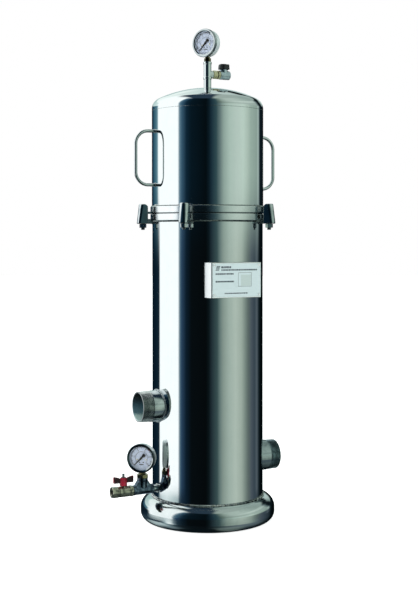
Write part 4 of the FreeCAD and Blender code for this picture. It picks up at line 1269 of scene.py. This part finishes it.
s = Shape().add(tube(6.8, 108.4, 126.2), XN)
piece("drain_nipple_pipe", s, M_NOZ, "housing", ["drain_nipple"])
pts = [(-(math.sqrt(109.0 ** 2 - (7.2 * math.sin(a)) ** 2) + 0.2), 7.2 * math.sin(a), DZ + 7.2 * math.cos(a))
       for a in [PI2 * i / 110 for i in range(110)]]
piece("drain_nipple_weld", Shape().add(bead(pts, 1.25, "b", seed=41, pitch=1.9)), M_WELD, "housing", sharp=60)
s = Shape()
s.add(lathe([(0, 118.2), (8.6, 118.2), (9.2, 118.8), (9.2, 160.2), (8.6, 160.8), (0, 160.8)], 64, False), XN)
for x0, x1 in ((118.2, 124.6), (154.6, 160.8)):
    s.add(lathe([(0, x0), (9.3, x0), (9.7, x0 + 0.5), (9.7, x1 - 1.2), (9.2, x1), (0, x1)] if x0 < 130 else
                [(0, x0), (9.2, x0), (9.7, x0 + 1.2), (9.7, x1 - 0.5), (9.3, x1), (0, x1)], 64, False), XN)
s.add(lathe([(0, 70), (9.0, 70), (9.0, 87.0), (10.1, 88.2), (10.4, 88.8), (10.4, 92.2), (9.9, 92.9), (0, 92.9)], 64, False), move(-139.8, 0, 0))
s.add(extrude([(-17.5, 70.0), (17.5, 70.0), (17.5, 75.4), (9.0, 88.5), (-9.0, 88.5), (-17.5, 75.4)], -6.6, 6.6, 0.8), move(-139.8, 0, 0) @ XZ)
piece("drain_tee_casting", melted(s, 0.4, 9), M_TEE, "housing", ["drain_tee"], sharp=80, weighted=False)
st = [(85.2, 3.0), (85.2, 5.8), (85.6, 6.2), (92.99, 6.2)] + hex_outer(20.6, 93.0, 100.0, 10.0) + [(100.0, 5.4), (99.4, 4.8), (86.0, 4.8), (86.0, 3.0)]
piece("gauge_bushing_hex", Shape().add(polar(st, hex_thetas(10.0)), move(-139.8, 0, 0)), M_BRASS, "housing", ["gauge_bushing"], sharp=38)

# valve body: tail thread, hexagon, barrel, stem boss
st = [(153.0, 4.5), (153.0, 6.2), (153.4, 6.8), (160.99, 6.8)] + hex_outer(19.0, 161.0, 168.0, 0.0)
st += [(168.3, 9.5), (168.8, 10.1), (169.4, 10.2), (176.0, 10.2), (189.0, 10.2), (189.6, 9.9), (189.8, 9.6), (189.8, 8.7), (186.2, 8.6),
       (186.2, 7.0), (183.5, 6.6), (180.0, 7.5), (176.0, 6.6), (173.5, 4.6)]
vb = Shape().add(polar(st, hex_thetas()), XN)
bs = Shape().add(lathe([(2.6, 77.6), (6.4, 77.6), (6.0, 79.7), (5.6, 80.3), (5.6, 80.9), (5.3, 81.2), (2.6, 81.2)], 48), move(-179.5, 0, 0))
vb.add((bs.v, bs.f))
piece("drain_valve_barrel", vb, M_VALVE, "housing", ["drain_valve_body"], sharp=38)
st = [(186.4, 4.5), (186.4, 8.0), (186.6, 8.3), (189.8, 8.4), (189.9, 9.6), (190.2, 10.0), (190.6, 10.2), (191.6, 10.2), (191.9, 9.9), (191.99, 9.4)]
st += hex_outer(19.0, 192.0, 204.0, 0.0)
st += [(204.0, 6.9), (203.6, 6.6)]
t = 203.2
while t > 194.6:
    f = threadr(6.55, 5.72, 1.337, t, fade=1.0)
    st.append((t, f))
    t -= 1.337 / 6
st += [(194.2, 5.72), (194.0, 5.0), (193.9, 4.5)]
piece("drain_valve_outlet", Shape().add(polar(st, hex_thetas()), XN), M_VALVE, "housing", ["drain_valve_end"], sharp=38)

# butterfly handle
s = Shape()
HX = move(-179.5, 0, 0)
s.add(lathe([(0, 81.7), (7.2, 81.7), (7.4, 82.0), (6.9, 88.0), (6.3, 95.0), (5.9, 96.6), (5.2, 97.0), (0, 97.0)], 48, False), HX)
wing = rounded([(-20.3, 87.4, 0.8), (-19.3, 86.5, 0.8), (-8.0, 86.4, 2), (8.0, 86.4, 2), (19.3, 86.5, 0.8), (20.3, 87.4, 0.8),
                (20.3, 98.4, 1.2), (19.2, 99.4, 1.2), (9.5, 97.0, 3), (6.0, 94.6, 1), (-6.0, 94.6, 1), (-9.5, 97.0, 3), (-19.2, 99.4, 1.2),
                (-20.3, 98.4, 1.2)], 4)
s.add(extrude(wing, -2.0, 2.0, 0.5), HX @ XZ)
for sx in (-1, 1):
    s.add(extrude(rounded([(sx * 16.6, 86.6, 0.5), (sx * 20.3, 87.0, 0.5), (sx * 20.3, 98.6, 0.5), (sx * 17.0, 98.8, 0.5)][::sx], 3), -2.45, 2.45, 0.6), HX @ XZ)
hd = melted(s, 0.28, 3)
tl = Shape().add(lathe([(0, 79), (6.05, 79), (6.05, 85.6), (0, 85.6)], 48, False), HX).mesh("t1")
t2 = Shape().add(lathe([(0, 94.7), (4.6, 94.7), (4.8, 99), (0, 99)], 48, False), HX).mesh("t2")
hd = cut(hd, [tl, t2])
for p in hd.polygons:      # flat faces of the wings take a darker copy of the red enamel as painted shade
    c = p.center * 1000
    p.material_index = 1 if abs(c.x + 179.5) > 7.0 and abs(p.normal.y) > 0.55 else 0
piece("drain_butterfly_handle", hd, [M_RED, M_RED_WING], "drain_lever", ["drain_valve_handle"], sharp=50, weighted=False)
st = [(94.62, 2.5)] + hex_outer(7.0, 94.62, 97.8, 15.0, rho=0.2) + [(97.8, 2.7), (97.5, 2.5)]
piece("drain_handle_nut_hex", Shape().add(polar(st, hex_thetas(15.0)), HX), M_STUD, "drain_lever", ["drain_handle_nut"], sharp=38)

# ------------------------------------------------------------------ top branch
s = Shape()
s.add(lathe([(4.5, 846.0), (7.3, 846.0), (7.3, 866.6), (6.9, 867.0), (5.8, 867.0), (5.8, 873.0), (4.5, 873.0)], 64))
piece("top_socket_pipe", s, M_CHROME, "cover", ["top_socket"])
s = Shape()
s.add(lathe([(0, 867.2), (7.5, 867.2), (7.5, 901.8), (0, 901.8)], 64, False))
for z0, z1 in ((867.2, 871.8), (897.2, 901.8)):
    s.add(lathe([(0, z0), (7.9, z0), (8.3, z0 + 0.4), (8.3, z1 - 0.4), (7.9, z1), (0, z1)], 64, False))
s.add(lathe([(0, 0), (7.2, 0), (7.2, 10.6), (6.9, 10.9), (0, 10.9)], 64, False), aim((0, 0, 877.5), (1, 0, 0)))
piece("top_tee_fitting", melted(s, 0.34, 3), M_CHROME, "cover", ["top_tee"], sharp=80, weighted=False)
XP = aim((0, 0, 877.5), (1, 0, 0))
st = [(6.5, 3.0), (6.5, 4.6), (6.9, 5.0), (10.99, 5.0)] + hex_outer(14.6, 11.0, 20.2, 30.0)
st += [(20.25, 6.9), (21.1, 6.9), (21.2, 7.9), (21.7, 8.4), (23.4, 8.4), (23.6, 8.15), (24.1, 8.15), (24.3, 8.4), (26.0, 8.4), (26.5, 7.9)]
st += [(26.5, 5.6), (29.2, 5.6), (29.6, 5.2), (29.6, 3.0)]
piece("vent_nipple_hex", Shape().add(polar(st, hex_thetas(30.0)), XP), M_NICKEL, "cover", ["vent_nipple"], sharp=38)
s = Shape()
st = [(29.7, 3.0), (29.7, 5.62), (26.62, 5.62), (26.62, 8.4), (26.9, 8.75), (27.4, 8.8), (29.0, 8.8), (29.2, 8.55), (29.8, 8.55), (30.0, 8.8), (38.0, 8.8),
      (46.8, 8.8), (47.6, 8.4), (48.0, 7.8), (48.0, 6.8), (47.7, 6.5)]
t = 47.3
while t > 41.4:
    st.append((t, threadr(6.45, 5.72, 1.337, t)))
    t -= 1.337 / 6
st += [(40.9, 5.72), (40.6, 5.0), (40.5, 3.0), (39.5, 3.2), (35.5, 5.1), (31.5, 3.2)]
s.add(polar(st, [i * 4.0 for i in range(90)]), XP)
s.add(lathe([(2.1, 884.8), (5.2, 884.8), (4.9, 886.0), (4.6, 886.6), (4.6, 888.8), (4.3, 889.1), (2.1, 889.1)], 40), move(35.5, 0, 0))
s.add(lathe([(4.2, 880.2), (8.1, 880.2), (8.1, 887.7), (7.3, 888.5), (4.2, 888.5)], 64), move(35.5, 0, 0))
piece("vent_valve_barrel", s, M_VENT, "cover", ["vent_valve_body"], sharp=38)
KZ = 888.9
s = Shape()
kb = rounded([(26.0, KZ, 0.6), (46.6, KZ, 0.6), (47.0, KZ + 1.0, 0.5), (46.3, 898.6, 1.4), (45.2, 899.5, 0.8), (28.4, 899.5, 1.0), (26.8, 898.4, 1.0),
              (25.6, KZ + 1.0, 0.5)], 4)
s.add(extrude(kb, -5.1, 5.1, 0.8), XZ)
s.add(lathe([(0, KZ), (6.8, KZ), (7.2, KZ + 0.4), (7.0, 899.0), (6.5, 899.5), (0, 899.5)], 48, False), move(35.5, 0, 0))
kn = melted(s, 0.28, 3)
tools = [Shape().add(lathe([(0, 880), (5.0, 880), (5.0, KZ + 1.4), (0, KZ + 1.4)], 40, False), move(35.5, 0, 0)).mesh("t1"),
         Shape().add(lathe([(0, 897.2), (3.65, 897.2), (3.8, 902), (0, 902)], 40, False), move(35.5, 0, 0)).mesh("t2")]
kn = cut(kn, tools)
piece("vent_knob_moulding", kn, M_BLACK, "vent_lever", ["vent_valve_knob"], sharp=50, weighted=False)

# ------------------------------------------------------------------ inside the vessel
cart_xy = [(66.0 * math.cos(PI2 * i / 5), 66.0 * math.sin(PI2 * i / 5)) for i in range(5)]
prof = [(15.5, 169.0), (30.6, 169.0), (31.2, 169.6)]
z = 172.0
while z < 674.0:
    prof += [(31.45, z), (31.45, z + 3.4), (30.9, z + 4.4), (30.9, z + 5.2), (31.45, z + 6.2)]
    z += 7.2
prof += [(31.2, 676.4), (30.6, 677.0), (15.5, 677.0)]
s = Shape()
for x, y in cart_xy:
    s.add(lathe(prof, 48), move(x, y, 0))
piece("cartridge_media_tubes", s, M_MEDIA, "housing", ["filter_cartridges"], sharp=50)
s = Shape()
for x, y in cart_xy:
    s.add(lathe([(13.0, 170.0), (15.45, 170.0), (15.45, 676.9), (23.4, 676.9), (24.0, 677.4), (24.0, 678.9), (23.4, 679.4), (12.0, 679.6), (8.6, 680.0),
                 (7.8, 681.0), (7.8, 695.4), (6.6, 697.0), (0.0, 697.0), (0.0, 663.0), (13.0, 663.0)], 48, False), move(x, y, 0))
    for k in range(10):
        a = PI2 * k / 10
        s.add(extrude([(9.5, -0.5), (22.5, -0.5), (22.5, 0.5), (9.5, 0.5)], 679.3, 680.6, 0.15), move(x, y, 0) @ Matrix.Rotation(a, 4, "Z"))
piece("cartridge_end_caps", s, M_SEAT, "housing", ["cartridge_cores"], sharp=45)
s = Shape()
for x, y in cart_xy:
    pts = []
    for k in range(0, 100):
        a = PI2 * k / 28.0
        pts.append((x + 10.8 * math.cos(a), y + 10.8 * math.sin(a), 681.0 + 8.2 * k / 99.0))
    s.add(sweep(pts, 0.75, 10))
piece("cartridge_coil_springs", s, M_STUD, "housing", ["cartridge_springs"], sharp=60)
s = Shape()
kb = []
for i in range(120):
    a = PI2 * i / 120
    lobe = 17.0 + 3.8 * math.cos(5 * (a - math.radians(18)))
    kb.append((lobe * math.cos(a), lobe * math.sin(a)))
s.add(extrude(kb, 702.2, 713.8, 1.8))
s.add(lathe([(0, 696.35), (12.4, 696.35), (13.0, 697.0), (13.0, 715.4), (12.2, 716.3), (0, 716.3)], 64, False))
kn = melted(s, 0.5, 4)
kn = cut(kn, [Shape().add(lathe([(0, 690), (6.1, 690), (6.1, 711.0), (0, 711.0)], 40, False)).mesh("t")])
piece("hold_down_lobed_knob", kn, M_BLACK, "hold_down", ["hold_down_knob"], sharp=50, weighted=False)

for node, mat in (("tube_sheet", M_INNER), ("cartridge_seats", M_SEAT), ("hold_down_plate", M_INNER), ("hold_down_washer", M_NUT), ("tie_rod", M_STUD),
                  ("drain_valve_ball", M_CHROME), ("drain_valve_stem", M_STUD), ("vent_valve_ball", M_CHROME), ("vent_valve_stem", M_STUD),
                  ("vent_knob_screw", M_NUT)):
    o = NODES[node]
    if len(o.material_slots):
        for sl in o.material_slots:
            sl.material = mat
    else:
        o.data.materials.append(mat)

# ------------------------------------------------------------------ floor
v, f = lathe([(0, 0), (300, 0), (900, 0), (2500, 0), (6000, 0), (14000, 0)], 96, False)
fl = Shape().add((v, f)).mesh("floor")
floor = bpy.data.objects.new("studio_floor", fl)
bpy.context.scene.collection.objects.link(floor)
mf = Mat("studio_floor_paint")
sp = mf.sep()
rad = mf.math("SQRT", mf.math("ADD", mf.math("MULTIPLY", sp[0], sp[0]), mf.math("MULTIPLY", sp[1], sp[1])))
g = mf.noise(220.0, 3.0, 0.5)
mf.set(color=mf.mix(mf.rng(g, 0.3, 0.7, 0.0, 1.0), lin("ececea"), lin("f2f2f0")), rough=0.7)
mf.b.inputs["Emission Color"].default_value = (1, 1, 1, 1)
mf.l(mf.rng(rad, 0.2, 1.0, 0.8, 1.0, True), mf.b.inputs["Emission Strength"])
fl.materials.append(mf.m)
floor.visible_glossy = False

# ------------------------------------------------------------------ surroundings: long soft panels round the vessel
scene = bpy.context.scene
CAM_AZ = 26.5
ca, sa = math.cos(math.radians(CAM_AZ)), math.sin(math.radians(CAM_AZ))
world = bpy.data.worlds.new("studio")
scene.world = world
world.use_nodes = True
wn = world.node_tree
wn.nodes.clear()


def W_(kind, **kw):
    nd = wn.nodes.new(kind)
    for k, val in kw.items():
        setattr(nd, k, val)
    return nd


def w_math(op, a, b=0.0, c=0.0, clamp=False):
    nd = W_("ShaderNodeMath", operation=op, use_clamp=clamp)
    for sock, val in zip(nd.inputs, (a, b, c)):
        if isinstance(val, bpy.types.NodeSocket):
            wn.links.new(val, sock)
        else:
            sock.default_value = val
    return nd.outputs[0]


tc = W_("ShaderNodeTexCoord")
sx = W_("ShaderNodeSeparateXYZ")
wn.links.new(tc.outputs["Generated"], sx.inputs[0])
right = w_math("ADD", w_math("MULTIPLY", sx.outputs[0], ca), w_math("MULTIPLY", sx.outputs[1], -sa))
front = w_math("ADD", w_math("MULTIPLY", sx.outputs[0], -sa), w_math("MULTIPLY", sx.outputs[1], -ca))
az = w_math("ARCTAN2", right, front)
az01 = w_math("ADD", w_math("DIVIDE", az, PI2), 0.5)
GAIN = 1.24


def w_ramp(stops):
    nd = W_("ShaderNodeValToRGB")
    el = nd.color_ramp.elements
    while len(el) > 1:
        el.remove(el[-1])
    first = True
    for deg, hx in stops:
        pos = (deg + 180.0) / 360.0
        col = lin(hx, GAIN)
        if first:
            el[0].position, el[0].color = pos, col
            first = False
        else:
            e = el.new(pos)
            e.color = col
    wn.links.new(az01, nd.inputs[0])
    return nd.outputs[0]


LOW = w_ramp([(-180, "051019"), (-140, "081824"), (-120, "10222e"), (-116, "f6fbfb"), (-63.5, "f6fbfb"), (-59.5, "54707f"), (-55, "284058"),
              (-45, "0c1c29"), (-34, "060c0f"), (-3, "05090b"), (3, "0b1518"), (8, "1e2b31"), (20, "374c4d"), (26, "657874"), (33, "83938a"),
              (45, "9aaaa0"), (60, "a8b6ab"), (74, "98a69b"), (84, "76857d"), (92, "5b6864"), (103, "465058"), (114, "35414a"), (124, "4c575e"),
              (132, "1c272d"), (140, "03090b"), (180, "02060a")])
FRONT = [(-63.5, "f6fbfb"), (-59.5, "5f7d8c"), (-54, "345368"), (-44, "0e2433"), (-34, "07161f"), (-3, "040c10"), (3, "0b1a22"), (8, "182c37"),
         (18, "2f484d"), (26, "647775"), (33, "8a9e95"), (45, "a4b8ad"), (62, "b0c1b7"), (78, "b5c8bc"), (90, "a6b8ac"), (100, "92a69b"),
         (122, "85988f")]
HIGH = w_ramp([(-180, "030f18"), (-160, "05202f"), (-153, "123447"), (-145, "2c5265"), (-136, "3f6676"), (-129, "557a88"), (-125, "7e9ca6"), (-121, "f6fbfb")] + FRONT +
              [(126, "9caea7"), (130, "8fa09a"), (134, "33454b"), (138, "0c161b"), (180, "040a0f")])
SKY = [(-124, "f6fbfb")] + FRONT[:9] + [(26, "5c6d65"), (33, "7a8b83"), (45, "92a299"), (62, "9fafa6"), (78, "a4b4ab"), (100, "9aaaa2"), (122, "90a19a")]
SKY2 = SKY[:10] + [(26, "62736b"), (33, "84958c"), (45, "a0b0a7"), (62, "b0c0b7"), (78, "b8c8be"), (100, "b2c2b9"), (122, "a6b6ae")]
BACK1 = w_ramp([(-180, "a5bbb9"), (-165, "9fb9b7"), (-150, "b5cbc9"), (-132, "c9dcda")] + SKY +
               [(129, "58696a"), (134, "0b1418"), (147, "0b1418"), (153, "7d908b"), (165, "b4c6c1"), (180, "a5bbb9")])
BACK2 = w_ramp([(-180, "b5c6c2"), (-174, "dce8e4"), (-150, "e6f0ed")] + SKY2 + [(131, "58696a"), (138, "0b1418"), (175, "0b1418"), (180, "8fa09c")])
SKY3 = SKY[:10] + [(26, "6b7c74"), (33, "8a9b92"), (45, "a3b3aa"), (62, "a9b9b0"), (78, "a5b5ac"), (100, "98a9a1"), (122, "8b9c95")]
BACK3 = w_ramp([(-180, "bccdc9"), (-160, "dfeae6"), (-140, "eef6f4")] + SKY3 + [(150, "93a49e"), (180, "b5c5c0")])
UNDER = w_ramp([(-180, "0b1418"), (-155, "101a20"), (-138, "8a9b9b"), (-122, "a8b6b8"), (-104, "aebdbf"), (-94, "b0c0c2"), (-84, "84969a"), (-75, "66787e"),
                (-66, "38484f"), (-58, "202e36"), (-50, "131c22"), (-34, "0a1216"), (-3, "080d10"), (8, "141e22"), (20, "283638"), (33, "465254"),
                (60, "5c696e"), (84, "58656a"), (110, "4a575c"), (132, "1c2628"), (145, "0b1418"), (180, "0b1418")])
SKIRT = w_ramp([(-180, "051019"), (-140, "081824"), (-126, "10222e"), (-120, "5c7078"), (-107, "b4c6c7"), (-94, "c6d4d4"), (-82, "b8c8c8"), (-71, "9db0b2"),
                (-64, "8b9fa2"), (-60.5, "30424d"), (-55, "182836"), (-45, "0c1c29"), (-34, "060c0f"), (-3, "05090b"), (3, "0b1518"), (8, "1e2b31"),
                (20, "374c4d"), (26, "657874"), (33, "83938a"), (45, "9aaaa0"), (60, "a8b6ab"), (74, "98a69b"), (84, "76857d"), (92, "5b6864"),
                (103, "465058"), (114, "35414a"), (132, "1c272d"), (140, "03090b"), (180, "02060a")])
EDGE = w_ramp([(-180, "0b1418"), (-150, "24343e"), (-110, "2c3c48"), (-95, "28343e"), (-90, "2c3a44"), (-84, "4a5c64"), (-78, "9cafb4"), (-73, "ecf4f4"),
               (-66, "e6eeee"), (-60, "768890"), (-54, "263842"), (-45, "101e26"), (-34, "060c0f"), (-3, "05090b"), (3, "0b1518"), (8, "1c292f"),
               (20, "34484a"), (33, "74847c"), (45, "87978e"), (60, "92a096"), (74, "8c9a92"), (84, "74847e"), (92, "5b6a6c"), (103, "465058"),
               (114, "35414a"), (132, "1c272d"), (140, "03090b"), (180, "02060a")])
DEEP = w_ramp([(-180, "0b1418"), (-140, "1c272c"), (-122, "46545a"), (-108, "6a7a80"), (-88, "66767b"), (-70, "38464c"), (-55, "141e22"), (-30, "0a1013"),
               (-3, "0a1013"), (8, "182124"), (20, "3a4645"), (33, "586664"), (50, "6a7875"), (72, "687673"), (90, "525f60"), (112, "344044"),
               (135, "141e22"), (150, "0b1418"), (180, "0b1418")])


def w_mix(f, a, b):
    nd = W_("ShaderNodeMix", data_type="RGBA")
    wn.links.new(f, nd.inputs[0])
    for sock, val in ((nd.inputs[6], a), (nd.inputs[7], b)):
        if isinstance(val, bpy.types.NodeSocket):
            wn.links.new(val, sock)
        else:
            sock.default_value = val
    return nd.outputs[2]


def w_step(v, a, b):
    nd = W_("ShaderNodeMapRange", interpolation_type="SMOOTHSTEP", clamp=True)
    wn.links.new(v, nd.inputs["Value"])
    nd.inputs["From Min"].default_value = a
    nd.inputs["From Max"].default_value = b
    return nd.outputs["Result"]


zz = sx.outputs[2]
down = w_math("MULTIPLY", zz, -1.0)
band = w_mix(w_step(zz, -0.03, 0.06), LOW, HIGH)
band = w_mix(w_step(zz, 0.145, 0.185), band, BACK1)
band = w_mix(w_step(zz, 0.34, 0.39), band, BACK2)
band = w_mix(w_step(zz, 0.49, 0.55), band, BACK3)
over = w_mix(w_step(right, -0.47, -0.36), lin("f4fbf9"), lin("2c3d4c"))
over = w_mix(w_step(right, 0.08, 0.20), over, lin("a6b6ae"))
over = w_mix(w_step(right, 0.55, 0.75), over, lin("8b9c96"))
band = w_mix(w_step(zz, 0.80, 0.88), band, over)
band = w_mix(w_step(down, 0.213, 0.226), band, SKIRT)
band = w_mix(w_step(down, 0.231, 0.247), band, EDGE)
band = w_mix(w_step(down, 0.40, 0.47), band, UNDER)
band = w_mix(w_step(down, 0.62, 0.80), band, DEEP)
steep = w_mix(w_step(right, 0.12, 0.28), lin("0b1418"), lin("5f6c69"))
band = w_mix(w_step(down, 0.82, 0.92), band, steep)
lp = W_("ShaderNodeLightPath")
bg1 = W_("ShaderNodeBackground")
wn.links.new(band, bg1.inputs[0])
bg1.inputs[1].default_value = 1.0
bg2 = W_("ShaderNodeBackground")
bg2.inputs[0].default_value = (1, 1, 1, 1)
bg2.inputs[1].default_value = 1.0
mx = W_("ShaderNodeMixShader")
wn.links.new(lp.outputs["Is Camera Ray"], mx.inputs[0])
wn.links.new(bg1.outputs[0], mx.inputs[1])
wn.links.new(bg2.outputs[0], mx.inputs[2])
wo = W_("ShaderNodeOutputWorld")
wn.links.new(mx.outputs[0], wo.inputs[0])


def area(name, loc, look, size, power, col=(1, 1, 1)):
    li = bpy.data.lights.new(name, "AREA")
    li.shape = "RECTANGLE"
    li.size, li.size_y = size
    li.energy = power
    li.color = col
    o = bpy.data.objects.new(name, li)
    bpy.context.scene.collection.objects.link(o)
    o.location = loc
    o.rotation_euler = (Vector(look) - Vector(loc)).to_track_quat("-Z", "Y").to_euler()
    o.visible_glossy = False
    return o


area("soft_key", (-2.4, -1.6, 2.2), (0, 0, 0.4), (1.8, 1.8), 42.0)
area("soft_fill", (2.2, -1.6, 1.6), (0, 0, 0.4), (1.8, 1.8), 20.0)
area("soft_top", (0, 0.4, 3.0), (0, 0, 0.4), (2.4, 2.4), 30.0)

# ------------------------------------------------------------------ camera
cam = bpy.data.cameras.new("camera")
cam.lens = 68.9
cam.sensor_width = 36.0
cam.sensor_fit = "AUTO"
cam.shift_x = 0.0027
cam.shift_y = -0.1027
cam.clip_start = 0.05
cam.clip_end = 60.0
co = bpy.data.objects.new("camera", cam)
scene.collection.objects.link(co)
co.location = (-1.007, -2.019, 0.556)
co.rotation_euler = (math.radians(90.0), 0.0, math.radians(-CAM_AZ))
scene.camera = co
scene.view_settings.view_transform = "Standard"
scene.view_settings.look = "None"

# ------------------------------------------------------------------ update
bpy.context.view_layer.update()
